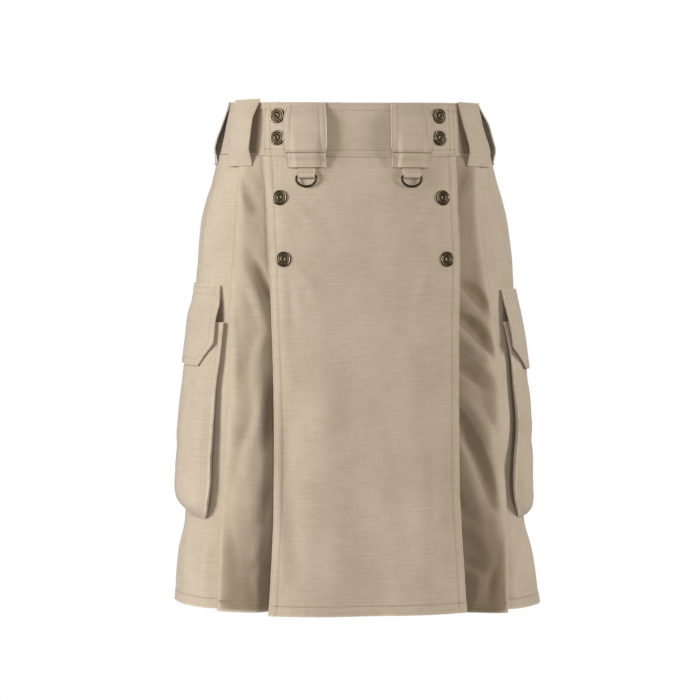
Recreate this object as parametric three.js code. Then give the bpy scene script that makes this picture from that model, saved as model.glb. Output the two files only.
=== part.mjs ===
import * as THREE from 'three';

// A utility kilt in ripstop cotton, filled out as it is when worn, with nobody in it. Millimetres,
// +Z up, the front faces -Y. The origin is the middle of the waistband, where the wearer's waist
// holds the kilt up. Left and right are as seen from the front.

// Driving sizes
const HEM_Z = -551;
const CLOTH = 1.2;
const BAND_CLOTH = 2.4;
const STRAP_CLOTH = 1.6;
const SEAM_GAP = 0.3;
const PLY_PITCH = 1.9;
const SQUARENESS = 2.2;
const RING_SAMPLES = 180;

// The garment's own form: half width and half depth of its outer cloth at each height, and how far
// the hem swings to the right
const FORM = [
  { z: 50, halfWidth: 143.5, halfDepth: 105, swing: 0 },
  { z: 31, halfWidth: 147, halfDepth: 107.5, swing: 0 },
  { z: 0, halfWidth: 153.5, halfDepth: 112, swing: 0 },
  { z: -31, halfWidth: 161.5, halfDepth: 116.5, swing: 0 },
  { z: -54, halfWidth: 167.5, halfDepth: 120, swing: 0 },
  { z: -78, halfWidth: 175, halfDepth: 124, swing: 0 },
  { z: -102, halfWidth: 180.5, halfDepth: 127, swing: 0 },
  { z: -137, halfWidth: 184.5, halfDepth: 130, swing: 0.6 },
  { z: -172, halfWidth: 187, halfDepth: 132.5, swing: 0.4 },
  { z: -240, halfWidth: 190.5, halfDepth: 137, swing: 0 },
  { z: -340, halfWidth: 195, halfDepth: 143.5, swing: 0 },
  { z: -455, halfWidth: 200.5, halfDepth: 151, swing: 0 },
  { z: -491, halfWidth: 208.4, halfDepth: 154, swing: 1 },
  { z: -551, halfWidth: 215.8, halfDepth: 158, swing: 3.4 },
];

// The front edges: half width and shift to the right of the apron and of the front pleats' pressed
// folds, how far a pleat's cloth sinks in behind the apron, and how far it opens over the side panel
const FRONT = [
  { z: -20, apron: 109.5, apronShift: -1.8, fold: 138.5, foldShift: 0.6, sink: 0, open: 3.8 },
  { z: -86, apron: 109.8, apronShift: -0.6, fold: 139.5, foldShift: -2.9, sink: 0, open: 4 },
  { z: -150, apron: 109.5, apronShift: 1.2, fold: 145, foldShift: -2.4, sink: 0.5, open: 4.3 },
  { z: -215, apron: 108, apronShift: 2, fold: 152.4, foldShift: 0.8, sink: 7, open: 5 },
  { z: -275, apron: 106.6, apronShift: 2.6, fold: 155.5, foldShift: 3.6, sink: 14, open: 5.5 },
  { z: -340, apron: 105.4, apronShift: 3, fold: 158, foldShift: 3.4, sink: 21, open: 6.5 },
  { z: -412, apron: 105.6, apronShift: 3, fold: 163.4, foldShift: 4.2, sink: 26, open: 8.5 },
  { z: -461, apron: 107.2, apronShift: 3.2, fold: 165.8, foldShift: 3.1, sink: 29, open: 11 },
  { z: -551, apron: 112.4, apronShift: -0.4, fold: 167, foldShift: -3.1, sink: 34, open: 16 },
];

// Height of the hem at the left and right edge of each front piece
const HEMS = {
  apron: { left: -551.8, right: -550 },
  frontPleatLeft: { front: -549, side: -549.6 },
  frontPleatRight: { front: -552.4, side: -554.5 },
  sidePanelLeft: { front: -548, side: -547 },
  sidePanelRight: { front: -551.5, side: -551.5 },
};

// Broad upright swells in the lower apron: place across the front, half width and rise
const APRON_SWELLS = [
  { across: -64, spread: 36, rise: 5 },
  { across: 70, spread: 32, rise: 4 },
];
const SWELL_STARTS_Z = -150;

// Waistband: its edges dip at the centre front and rise towards the back
const BAND = {
  topFront: 31, topRise: 9, seamFront: -31, seamRise: 14, flapLeft: 116, flapRight: 112.5, tuckUnder: 74,
};

// Back pleats, counted from the centre back: distance of each pressed fold at the reference height
const BACK = {
  folds: [30, 64, 98, 132], underlap: 17, openTop: 4.6, openHem: 15, fellZ: -160, referenceZ: -172,
};

// Belt loops: distance of the middle from the centre front at the top and at the foot, width, how
// much wider the top is, how far it stands above the band's edge, the foot's height, stand-off at
// the front and rear edge, the share of the length at which it is full, and how far out the foot is
const LOOPS = [
  { name: 'side_loop_left', side: -1, alongTop: 146, alongFoot: 149.8, width: 37, flare: 9, rise: 3.2,
    foot: -40.5, bowFront: 10, bowRear: 1.5, fullAt: 0.34, footOut: 2.9 },
  { name: 'side_loop_right', side: 1, alongTop: 141.5, alongFoot: 150, width: 42, flare: 0, rise: 0.4,
    foot: -40.5, bowFront: 7.4, bowRear: 5, fullAt: 0.76, footOut: 2.9 },
  { name: 'hip_loop_left', side: -1, alongTop: 228, alongFoot: 228, width: 44, flare: 0, rise: 0.4,
    foot: -37, bowFront: 6.6, bowRear: 0.5, fullAt: 0.7, footOut: 1.3 },
  { name: 'hip_loop_right', side: 1, alongTop: 228, alongFoot: 228, width: 44, flare: 0, rise: 0.4,
    foot: -37, bowFront: 7, bowRear: 0.5, fullAt: 0.42, footOut: 1.3 },
];
const FRONT_LOOP = { left: 64.6, right: 54.2, width: 44, foldZ: -27, foot: -43, bow: 7 };
const BACK_LOOP = { width: 44, foot: -30, bow: 6.5 };

// D-rings and the tabs that hold them
const RING = { barZ: -52.6, wire: 1.3, innerWidth: 20.6, drop: 13.4, lean: 5, barOut: 5.4, corner: 2.6 };
const TAB = { width: 19.4, top: -34, clearance: 0.4 };
const RING_SIDES = 8;
const RING_STEPS = 44;

// Snap fasteners: distance of each from the middle of the front, and height
const SNAPS = [
  { name: 'snap_waist_upper', left: 95.4, right: 88.4, z: 16.5, onBand: true },
  { name: 'snap_waist_lower', left: 95.6, right: 88.2, z: -9, onBand: true },
  { name: 'snap_apron_upper', left: 94.2, right: 90.8, z: -77.5, onBand: false },
  { name: 'snap_apron_lower', left: 91.4, right: 94.4, z: -147.5, onBand: false },
];
const SNAP = {
  radius: 8.75, rimHeight: 1.1, grooveRadius: 6.9, grooveHeight: 1.25, domeHeight: 2.9, sides: 20,
};

// Cargo pockets on the side panels: the distance of the front edge from the centre front, and how
// far the bag and its flap stand off the panel, at each height
const POCKET = {
  rear: 352, top: -220, bottom: -446, bellows: 15, dropRight: -1,
  tiltTop: 0.03, tiltBottom: 0.15, tiltReach: 85,
};
const POCKET_FORM = [
  { z: -220, frontLeft: 169, frontRight: 180, left: 5.4, right: 6.2 },
  { z: -240, frontLeft: 171, frontRight: 186, left: 6.4, right: 8.4 },
  { z: -265, frontLeft: 174, frontRight: 193, left: 7.9, right: 10.4 },
  { z: -294, frontLeft: 178.5, frontRight: 196, left: 9.8, right: 12.2 },
  { z: -333, frontLeft: 181, frontRight: 201, left: 11.8, right: 14.4 },
  { z: -352, frontLeft: 182, frontRight: 199, left: 12.8, right: 14.8 },
  { z: -378, frontLeft: 184, frontRight: 194, left: 13.6, right: 14.4 },
  { z: -405, frontLeft: 185, frontRight: 192, left: 13.4, right: 13.6 },
  { z: -424, frontLeft: 188, frontRight: 194.5, left: 13.8, right: 12.4 },
  { z: -434, frontLeft: 190.5, frontRight: 199, left: 12.6, right: 11.2 },
  { z: -441, frontLeft: 194, frontRight: 205, left: 9.2, right: 8.4 },
  { z: -446, frontLeft: 200, frontRight: 212, left: 3.4, right: 3.4 },
];
const FLAP = {
  rear: 355, top: -178, bottom: -271, dropRight: -5, clipLeft: 25, clipRight: 32, clipHeight: 27,
};
const FLAP_FORM = [
  { z: -178, frontLeft: 176, frontRight: 178, left: 1.7, right: 1.7 },
  { z: -188, frontLeft: 175, frontRight: 178.5, left: 2.5, right: 3 },
  { z: -200, frontLeft: 174.5, frontRight: 179.5, left: 3.8, right: 5.4 },
  { z: -213, frontLeft: 175.5, frontRight: 181.5, left: 7.2, right: 7.8 },
  { z: -222, frontLeft: 176.5, frontRight: 183, left: 8.2, right: 9.2 },
  { z: -240, frontLeft: 177.5, frontRight: 185, left: 9.2, right: 11.4 },
  { z: -260, frontLeft: 178, frontRight: 185, left: 10.6, right: 13.2 },
  { z: -277, frontLeft: 178, frontRight: 185, left: 11.6, right: 14.4 },
];

// Heights of the rows in a skirt panel, as shares of its length
const ROWS = [0, 0.03, 0.08, 0.14, 0.22, 0.31, 0.42, 0.54, 0.66, 0.75, 0.81, 0.88, 1];

// Reading a table smoothly between its rows
function read(table, column, z) {
  const last = table.length - 1;
  if (z >= table[0].z) return table[0][column];
  if (z <= table[last].z) return table[last][column];
  let i = 0;
  while (z < table[i + 1].z) i += 1;
  const slope = (k) => {
    const a = table[Math.max(k - 1, 0)];
    const b = table[Math.min(k + 1, last)];
    return (b[column] - a[column]) / (b.z - a.z);
  };
  const step = table[i + 1].z - table[i].z;
  const t = (z - table[i].z) / step;
  const h00 = 2 * t ** 3 - 3 * t ** 2 + 1;
  const h10 = t ** 3 - 2 * t ** 2 + t;
  const start = table[i][column] * h00 + slope(i) * step * h10;
  return start + table[i + 1][column] * (1 - h00) + slope(i + 1) * step * (t ** 3 - t ** 2);
}

const mix = (a, b, t) => a + (b - a) * t;
const ease = (t) => {
  const c = Math.min(Math.max(t, 0), 1);
  return c * c * (3 - 2 * c);
};

// One level section of the form: points from the centre front to the centre back with their distance
const sections = new Map();
function sectionAt(z) {
  const key = Math.round(z * 50) / 50;
  if (sections.has(key)) return sections.get(key);
  const a = read(FORM, 'halfWidth', key);
  const b = read(FORM, 'halfDepth', key);
  const power = 2 / SQUARENESS;
  const points = [];
  let length = 0;
  for (let i = 0; i <= RING_SAMPLES; i += 1) {
    const angle = (Math.PI * i) / RING_SAMPLES;
    const c = Math.cos(angle);
    const x = a * Math.sin(angle) ** power;
    const y = -b * Math.sign(c) * Math.abs(c) ** power;
    if (i > 0) length += Math.hypot(x - points[i - 1].x, y - points[i - 1].y);
    points.push({ x, y, length });
  }
  const section = { a, b, points, length };
  sections.set(key, section);
  return section;
}

const halfRound = (z) => sectionAt(z).length;

// Distance from the centre front at which the front half of a section is this far to the side
function alongAtWidth(width, z) {
  const { points } = sectionAt(z);
  let i = 0;
  while (points[i + 1].x < width) i += 1;
  const t = (width - points[i].x) / (points[i + 1].x - points[i].x);
  return mix(points[i].length, points[i + 1].length, t);
}

// A place on the form: along is the distance from the centre front, negative on the left side
function onForm(along, z, out = 0) {
  const { a, b, points, length } = sectionAt(z);
  const side = along < 0 ? -1 : 1;
  let distance = Math.abs(along);
  let across = side;
  if (distance > length) {
    distance = 2 * length - distance;
    across = -side;
  }
  let low = 0;
  let high = points.length - 1;
  while (high - low > 1) {
    const middle = (low + high) >> 1;
    if (points[middle].length <= distance) low = middle;
    else high = middle;
  }
  const t = (distance - points[low].length) / (points[high].length - points[low].length);
  const x = mix(points[low].x, points[high].x, t);
  const y = mix(points[low].y, points[high].y, t);
  const nx = Math.abs(x / a) ** (SQUARENESS - 1) / a;
  const ny = (Math.sign(y) * Math.abs(y / b) ** (SQUARENESS - 1)) / b;
  const size = Math.hypot(nx, ny);
  const normal = { x: (across * nx) / size, y: ny / size };
  const swing = read(FORM, 'swing', z);
  return { x: across * x + swing + normal.x * out, y: y + normal.y * out, z, normal };
}

// Heights of the waistband's edges at a distance round from the centre front
const roundShare = (along, z) => (1 - Math.cos((Math.PI * Math.abs(along)) / halfRound(z))) / 2;
const bandTop = (along) => BAND.topFront + BAND.topRise * roundShare(along, BAND.topFront);
const bandSeam = (along) => BAND.seamFront + BAND.seamRise * roundShare(along, BAND.seamFront);

// A closed cloth wall from rows of centre points; its thickness is laid off level, to both sides
function clothWall(rows, thickness) {
  const height = rows.length;
  const width = rows[0].length;
  const positions = [];
  const layer = (sign) => {
    rows.forEach((row) => {
      row.forEach((point, i) => {
        const before = row[Math.max(i - 1, 0)];
        const after = row[Math.min(i + 1, width - 1)];
        const toBefore = new THREE.Vector2(point.x - before.x, point.y - before.y);
        const toAfter = new THREE.Vector2(after.x - point.x, after.y - point.y);
        const first = (toBefore.lengthSq() > 0 ? toBefore : toAfter).clone().normalize();
        const second = (toAfter.lengthSq() > 0 ? toAfter : toBefore).clone().normalize();
        const travel = first.clone().add(second).normalize();
        const widen = 1 / Math.max(travel.dot(second), 0.7);
        const reach = (sign * thickness * widen) / 2;
        positions.push(point.x + travel.y * reach, point.y - travel.x * reach, point.z);
      });
    });
  };
  layer(1);
  layer(-1);
  const inner = height * width;
  const index = [];
  const quad = (a, b, c, d) => index.push(a, b, c, a, c, d);
  for (let r = 0; r < height - 1; r += 1) {
    for (let c = 0; c < width - 1; c += 1) {
      const k = r * width + c;
      quad(k, k + width, k + width + 1, k + 1);
      quad(inner + k, inner + k + 1, inner + k + width + 1, inner + k + width);
    }
  }
  for (let c = 0; c < width - 1; c += 1) {
    const foot = (height - 1) * width + c;
    quad(c, c + 1, inner + c + 1, inner + c);
    quad(foot, inner + foot, inner + foot + 1, foot + 1);
  }
  for (let r = 0; r < height - 1; r += 1) {
    const start = r * width;
    const end = start + width - 1;
    quad(start, inner + start, inner + start + width, start + width);
    quad(end, end + width, inner + end + width, inner + end);
  }
  const geometry = new THREE.BufferGeometry();
  geometry.setAttribute('position', new THREE.Float32BufferAttribute(positions, 3));
  geometry.setIndex(index);
  return geometry;
}

const steps = (count, from, to) => Array.from({ length: count }, (_, i) => mix(from, to, i / (count - 1)));

// A path of { along, out } places at one height becomes a row of points; left paths are mirrored
function rowOf(path, heightAt, side) {
  const row = path.map(({ along, out }) => {
    const z = heightAt(along);
    const place = onForm(side * along, z, out);
    return { x: place.x, y: place.y, z };
  });
  return side < 0 ? row.reverse() : row;
}

// The height of a skirt row: a share of the way from the waist seam to the hem. The tables are read
// at the height of one place at the side, so that neighbouring panels agree
const READ_ALONG = 230;
const skirtHeight = (share, hem = HEM_Z) => (along) => mix(bandSeam(along) - SEAM_GAP, hem, share);

const edgeAlong = (column, z, side) => (
  alongAtWidth(read(FRONT, column, z) + side * read(FRONT, `${column}Shift`, z), z)
);
const apronAlong = (z, side) => edgeAlong('apron', z, side);
const foldAlong = (z, side) => edgeAlong('fold', z, side);

function apronSwell(along, z) {
  const grown = ease((SWELL_STARTS_Z - z) / (SWELL_STARTS_Z - HEM_Z));
  const swell = APRON_SWELLS.reduce((sum, { across, spread, rise }) => (
    sum + rise * Math.exp(-(((along - across) / spread) ** 2))
  ), 0);
  return swell * grown;
}

const APRON_OUT = 1.3;
function apronGeometry() {
  const rows = ROWS.map((share) => {
    const z = skirtHeight(share)(0);
    const left = -apronAlong(z, -1);
    const right = apronAlong(z, 1);
    const hemAt = (along) => mix(HEMS.apron.left, HEMS.apron.right, (along - left) / (right - left));
    const height = (along) => skirtHeight(share, hemAt(along))(along);
    const path = steps(17, left, right).map((along) => {
      return { along, out: APRON_OUT + apronSwell(along, height(along)) };
    });
    return rowOf(path, height, 1);
  });
  return clothWall(rows, CLOTH);
}

// The plies of the front pleat at one height: face out to the pressed fold, then back underneath
const FACE_OUT = 1.2;
const UNDER_FACE = -0.6;
const FRONT_UNDERLAP = 14;
// How a pleat's face rises from behind the apron to its fold: a place as a share of the way, and how
// far it has risen half way there and there
const BROW = { left: { at: 0.28, half: 0.52, there: 0.84 }, right: { at: 0.62, half: 0.44, there: 0.78 } };
function frontPleatPath(z, side) {
  const edge = apronAlong(z, side);
  const fold = foldAlong(z, side);
  const sink = read(FRONT, 'sink', z);
  const open = read(FRONT, 'open', z);
  const start = edge - 42;
  const level = UNDER_FACE - sink;
  const returnOut = FACE_OUT - PLY_PITCH;
  const hiddenOut = FACE_OUT + CLOTH + SEAM_GAP - open;
  const { at, half, there } = side < 0 ? BROW.left : BROW.right;
  const brow = mix(edge, fold, at);
  return [
    { along: start, out: level * 0.9 - 0.06 },
    { along: edge - 26, out: level },
    { along: edge - 9, out: level },
    { along: edge + 3, out: mix(level, UNDER_FACE, 0.14) },
    { along: mix(edge, brow, 0.5), out: mix(level, FACE_OUT, half) },
    { along: brow, out: mix(level, FACE_OUT, there) },
    { along: mix(brow, fold, 0.5), out: mix(level, FACE_OUT, 0.96) },
    { along: fold - 2.6, out: FACE_OUT },
    { along: fold - 0.4, out: FACE_OUT - 0.2 * PLY_PITCH },
    { along: fold, out: FACE_OUT - 0.5 * PLY_PITCH },
    { along: fold - 0.4, out: FACE_OUT - 0.8 * PLY_PITCH },
    { along: fold - 2.6, out: FACE_OUT - PLY_PITCH },
    { along: fold - FRONT_UNDERLAP / 2, out: mix(returnOut, hiddenOut, 0.45) },
    { along: fold - FRONT_UNDERLAP, out: hiddenOut },
  ];
}

// The height of a row in a piece whose hem runs between two heights over a stretch of the form
function slopingHeight(share, hem, from, to) {
  return (along) => {
    const reach = Math.min(Math.max((along - from) / (to - from), 0), 1);
    return skirtHeight(share, mix(hem.front, hem.side, reach))(along);
  };
}

function frontPleatGeometry(side) {
  const hem = side < 0 ? HEMS.frontPleatLeft : HEMS.frontPleatRight;
  const rows = ROWS.map((share) => {
    const path = frontPleatPath(skirtHeight(share)(READ_ALONG), side);
    return rowOf(path, slopingHeight(share, hem, 110, 175), side);
  });
  return clothWall(rows, CLOTH);
}

// Back pleats: how far each opens, growing from the stitched part down to the hem
const pleatOpen = (z) => mix(BACK.openTop, BACK.openHem, ease((BACK.fellZ - z) / (BACK.fellZ - HEM_Z)));
const backScale = (z) => halfRound(z) / halfRound(BACK.referenceZ);
const seamFlush = (z) => -1.2 * ease((z + 52) / 24);
const backFold = (k, z) => halfRound(z) - BACK.folds[k] * backScale(z);

// The side panel at one height: hidden under both pleats, resting on the form between them
const SIDE_HIDE = 22;
function sidePanelPath(z, side) {
  const fold = foldAlong(z, side);
  const open = read(FRONT, 'open', z);
  const start = fold - FRONT_UNDERLAP + 1;
  const rear = backFold(BACK.folds.length - 1, z);
  const end = rear + BACK.underlap * backScale(z) - 1;
  const inFront = FACE_OUT - SEAM_GAP - open;
  const behind = UNDER_FACE + seamFlush(z) - pleatOpen(z);
  const middle = UNDER_FACE;
  const stations = steps(11, fold + SIDE_HIDE, rear - SIDE_HIDE);
  return [
    { along: start, out: inFront },
    { along: fold - 8, out: mix(inFront, middle, 0.12) },
    { along: fold + 6, out: mix(inFront, middle, 0.55) },
    ...stations.map((along) => ({ along, out: middle })),
    { along: rear - 8, out: mix(middle, behind, 0.45) },
    { along: rear + 2, out: mix(middle, behind, 0.9) },
    { along: end, out: behind },
  ];
}

function sidePanelGeometry(side) {
  const hem = side < 0 ? HEMS.sidePanelLeft : HEMS.sidePanelRight;
  const rows = ROWS.map((share) => {
    const path = sidePanelPath(skirtHeight(share)(READ_ALONG), side);
    return rowOf(path, slopingHeight(share, hem, 175, 270), side);
  });
  return clothWall(rows, CLOTH);
}

// Half of the pleated back, from the centre out to the last fold's hidden edge, at one height.
// Distances are from the centre back.
function backHalfPath(z) {
  const scale = backScale(z);
  const open = pleatOpen(z);
  const under = BACK.underlap * scale;
  const top = UNDER_FACE + seamFlush(z);
  const path = [];
  let faceStart = 0;
  BACK.folds.forEach((distance, k) => {
    const fold = distance * scale;
    const last = k === BACK.folds.length - 1;
    const rise = (t) => top - (k === 0 ? 0 : open * (1 - t));
    steps(k === 0 ? 3 : 4, faceStart, fold - 2.6).forEach((from, i, all) => {
      path.push({ from, out: rise(i / (all.length - 1)) });
    });
    path.push({ from: fold - 0.4, out: top - 0.2 * PLY_PITCH });
    path.push({ from: fold, out: top - 0.5 * PLY_PITCH });
    path.push({ from: fold - 0.4, out: top - 0.8 * PLY_PITCH });
    path.push({ from: fold - 2.6, out: top - PLY_PITCH });
    const back = last ? CLOTH + SEAM_GAP : PLY_PITCH;
    path.push({ from: fold - under + 1, out: top - open + back });
    if (!last) path.push({ from: fold - under, out: top - open + PLY_PITCH / 2 });
    faceStart = fold - under + 1;
  });
  return path;
}

function backPanelGeometry() {
  const rows = ROWS.map((share) => {
    const height = skirtHeight(share);
    const z = height(READ_ALONG);
    const half = backHalfPath(z);
    const round = halfRound(z);
    const place = ({ from, out }, side) => {
      const along = side * (round - from);
      return onForm(along, height(along), out);
    };
    const right = half.slice(1).reverse().map((step) => place(step, 1));
    const centre = place({ from: 0.001, out: half[0].out }, 1);
    const left = half.slice(1).map((step) => place(step, -1));
    return [...right, centre, ...left];
  });
  return clothWall(rows, CLOTH);
}

// A band between two edge heights, following the form
function bandGeometry(alongs, out, thickness) {
  const rows = steps(4, 0, 1).map((share) => alongs.map((along) => {
    const z = mix(bandTop(along), bandSeam(along), share);
    return onForm(along, z, out);
  }));
  return clothWall(rows, thickness);
}

// A strap laid over the band: rows down its length, each across its width; middle and out are
// functions of the share of the length, and out of the place across too
function strapGeometry({ side, width, flare = 0, top, foot, middle, out, columns = 5, count = 13 }) {
  const rows = steps(count, 0, 1).map((share) => {
    const path = steps(columns, -0.5, 0.5).map((across) => {
      return { along: middle(share) + across * (width + flare * (1 - share)), out: out(share, across) };
    });
    return rowOf(path, () => mix(top, foot, share), side);
  });
  return clothWall(rows, STRAP_CLOTH);
}

// How far a loop stands off at a share of its length, full from one share on, then back at the foot
const bowAt = (share, fullAt) => ease(share / fullAt) * ease((1 - share) / 0.28);

const LOOP_REST = 1.5 * SEAM_GAP + STRAP_CLOTH / 2;
function beltLoopGeometry(loop) {
  const { side, alongTop, alongFoot, width, flare, rise, foot, bowFront, bowRear, fullAt, footOut } = loop;
  return strapGeometry({
    side,
    width,
    flare,
    foot,
    top: bandTop(alongTop) + rise,
    middle: (share) => mix(alongTop, alongFoot, share),
    out: (share, across) => {
      const rest = mix(LOOP_REST, Math.max(footOut, LOOP_REST), ease(share * 1.3 - 0.3));
      return rest + mix(bowFront, bowRear, across + 0.5) * bowAt(share, fullAt);
    },
  });
}

const BAND_FLAP_OUT = 0.4 + BAND_CLOTH / 2;
const loopMiddle = (side) => (side < 0 ? FRONT_LOOP.left : FRONT_LOOP.right);
function frontLoopGeometry(side) {
  const top = bandTop(loopMiddle(side)) - 0.5;
  const foot = FRONT_LOOP.foot;
  const width = FRONT_LOOP.width;
  const onBand = BAND_FLAP_OUT + BAND_CLOTH / 2 + SEAM_GAP + STRAP_CLOTH / 2;
  const onApron = APRON_OUT + CLOTH / 2 + SEAM_GAP + STRAP_CLOTH / 2;
  const overTab = 2 * CLOTH + 2 * SEAM_GAP + 0.4;
  return strapGeometry({
    side,
    width,
    top,
    foot,
    middle: () => loopMiddle(side),
    out: (share, across) => {
      const z = mix(top, foot, share);
      const settled = ease((FRONT_LOOP.foldZ - 3 - z) / 7);
      const raised = overTab * ease((17 - Math.abs(across * width)) / 6) * ease(share * 3.6 - 1.5);
      return mix(onBand, onApron, settled) + raised + FRONT_LOOP.bow * bowAt(share * 1.06, 0.3);
    },
    columns: 9,
    count: 14,
  });
}

function backLoopGeometry() {
  const top = bandTop(halfRound(0)) - 0.5;
  const rows = steps(13, 0, 1).map((share) => steps(5, -0.5, 0.5).map((across) => {
    const z = mix(top, BACK_LOOP.foot, share);
    const out = LOOP_REST + BACK_LOOP.bow * bowAt(share, 0.35);
    return onForm(halfRound(z) + across * BACK_LOOP.width + 0.001, z, out);
  }));
  return clothWall(rows, STRAP_CLOTH);
}

// Sets a piece on the form: its own -Y points outwards there, and it leans with the cloth if asked
function seat(mesh, along, z, out, follow) {
  const place = onForm(along, z, out);
  const above = onForm(along, z + 4);
  const below = onForm(along, z - 4);
  const rise = (below.x - above.x) * place.normal.x + (below.y - above.y) * place.normal.y;
  mesh.position.set(place.x, place.y, z);
  mesh.rotation.order = 'ZXY';
  mesh.rotation.z = Math.atan2(place.normal.x, -place.normal.y);
  mesh.rotation.x = follow ? -Math.atan2(rise, 8) : 0;
  return mesh;
}

// Outer face of the apron at a height, measured out from the ring's bar height
function apronFaceAt(z) {
  const bar = onForm(FRONT_LOOP.left, RING.barZ);
  const there = onForm(FRONT_LOOP.left, z);
  const out = (there.x - bar.x) * bar.normal.x + (there.y - bar.y) * bar.normal.y;
  return out + APRON_OUT + CLOTH / 2;
}

// The tab is a strap folded round the ring's bar; its section is drawn out from the cloth and up
function tabGeometry() {
  const inner = RING.wire + TAB.clearance;
  const outer = inner + CLOTH;
  const barOut = RING.barOut;
  const shape = new THREE.Shape();
  const backFace = (z) => apronFaceAt(z) + SEAM_GAP;
  const neckZ = RING.barZ + 7;
  const neck = backFace(neckZ) + CLOTH;
  shape.moveTo(backFace(TAB.top), TAB.top - RING.barZ);
  shape.lineTo(backFace(neckZ), neckZ - RING.barZ);
  shape.lineTo(barOut - outer, 0.6);
  shape.absarc(barOut, 0, outer, Math.PI, 2 * Math.PI, false);
  shape.lineTo(barOut + outer, 0.6);
  shape.lineTo(neck + CLOTH + SEAM_GAP, neckZ - RING.barZ);
  shape.lineTo(backFace(TAB.top) + 2 * CLOTH + SEAM_GAP, TAB.top - RING.barZ);
  shape.lineTo(backFace(TAB.top) + CLOTH + SEAM_GAP, TAB.top - RING.barZ);
  shape.lineTo(neck + SEAM_GAP, neckZ - RING.barZ);
  shape.lineTo(barOut + inner, 0.6);
  shape.absarc(barOut, 0, inner, 2 * Math.PI, Math.PI, true);
  shape.lineTo(barOut - inner, 0.6);
  shape.lineTo(neck, neckZ - RING.barZ);
  shape.lineTo(backFace(TAB.top) + CLOTH, TAB.top - RING.barZ);
  const strip = { depth: TAB.width, bevelEnabled: false, curveSegments: 6 };
  const geometry = new THREE.ExtrudeGeometry(shape, strip);
  const basis = new THREE.Matrix4().makeBasis(
    new THREE.Vector3(0, -1, 0),
    new THREE.Vector3(0, 0, 1),
    new THREE.Vector3(-1, 0, 0),
  );
  basis.setPosition(TAB.width / 2, 0, 0);
  return geometry.applyMatrix4(basis);
}

// The ring is one bent wire whose ends meet in the middle of the bar, inside the tab
class RingOutline extends THREE.Curve {
  constructor() {
    super();
    const half = RING.innerWidth / 2 + RING.wire;
    const path = new THREE.Path();
    path.moveTo(0.2, 0);
    path.lineTo(half - RING.corner, 0);
    path.absarc(half - RING.corner, -RING.corner, RING.corner, Math.PI / 2, 0, true);
    const shoulder = -(RING.drop - half);
    path.lineTo(half, Math.min(shoulder, -RING.corner - 0.1));
    path.absellipse(0, Math.min(shoulder, -RING.corner - 0.1), half,
      RING.drop - RING.wire - Math.max(-shoulder, RING.corner + 0.1), 0, Math.PI, true);
    path.absarc(-half + RING.corner, -RING.corner, RING.corner, Math.PI, Math.PI / 2, true);
    path.lineTo(-0.2, 0);
    this.path = path;
  }

  getPoint(t, target = new THREE.Vector3()) {
    const p = this.path.getPointAt(Math.min(Math.max(t, 0), 1));
    return target.set(p.x, 0, p.y);
  }
}

function ringGeometry() {
  const section = new THREE.Shape();
  for (let i = 0; i < RING_SIDES; i += 1) {
    const angle = (2 * Math.PI * (i + 0.5)) / RING_SIDES;
    const x = RING.wire * Math.cos(angle);
    const y = RING.wire * Math.sin(angle);
    if (i === 0) section.moveTo(x, y);
    else section.lineTo(x, y);
  }
  const geometry = new THREE.ExtrudeGeometry(section, { steps: RING_STEPS, extrudePath: new RingOutline() });
  return geometry.rotateX((-RING.lean * Math.PI) / 180);
}

// A snap's cap: flanged rim, narrow groove and a low dome, turned about its own axis
function snapGeometry() {
  const { radius, rimHeight, grooveRadius, grooveHeight, domeHeight, sides } = SNAP;
  const profile = [
    [0, 0],
    [radius - 0.5, 0],
    [radius, 0.5],
    [radius - 0.4, rimHeight + 0.5],
    [grooveRadius + 0.5, rimHeight + 0.7],
    [grooveRadius, grooveHeight],
    [grooveRadius * 0.6, domeHeight - 0.5],
    [0, domeHeight],
  ].map(([r, h]) => new THREE.Vector2(r, h));
  return new THREE.LatheGeometry(profile, sides).rotateX(Math.PI);
}

// The left pocket's rows rise a little towards the rear, the lower ones more
function tiltLift(side, along, from, z) {
  if (side > 0) return 0;
  const tilt = mix(POCKET.tiltTop, POCKET.tiltBottom, ease((-290 - z) / 150));
  return tilt * Math.min(Math.max(along - from, 0), POCKET.tiltReach);
}
const rearGrowth = (z) => (halfRound(z) - halfRound(-340)) * 0.5;

// The pocket bag: its edges turn under and run back to the panel as bellows
function pocketGeometry(side) {
  const shares = [0, 0.1, 0.22, 0.36, 0.5, 0.6, 0.7, 0.8, 0.88, 0.945, 0.98, 1];
  const [front, stand] = side < 0 ? ['frontLeft', 'left'] : ['frontRight', 'right'];
  const rows = shares.map((share) => {
    const z = mix(POCKET.top, POCKET.bottom, share);
    const from = read(POCKET_FORM, front, z);
    const to = POCKET.rear + rearGrowth(z);
    const out = read(POCKET_FORM, stand, z);
    const foot = SEAM_GAP + CLOTH / 2;
    const lift = Math.max(out - foot, 0);
    const edge = (at, inward) => [
      { along: at + inward * POCKET.bellows, out: foot },
      { along: at + inward * 3.2, out: out - Math.max(PLY_PITCH, lift * 0.38) },
      { along: at + inward * 0.5, out: out - Math.max(PLY_PITCH * 0.8, lift * 0.24) },
      { along: at, out: out - Math.max(PLY_PITCH * 0.5, lift * 0.12) },
      { along: at + inward * 0.5, out: out - Math.max(PLY_PITCH * 0.2, lift * 0.03) },
      { along: at + inward * 3.2, out },
    ];
    const face = steps(7, from + 16, to - 16).map((along) => ({ along, out: out + 0.06 * lift }));
    const path = [...edge(from, 1), ...face, ...edge(to, -1).reverse()];
    const drop = (side < 0 ? 0 : POCKET.dropRight) * share;
    return rowOf(path, (along) => z + drop + tiltLift(side, along, from, z), side);
  });
  return clothWall(rows, CLOTH);
}

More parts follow.
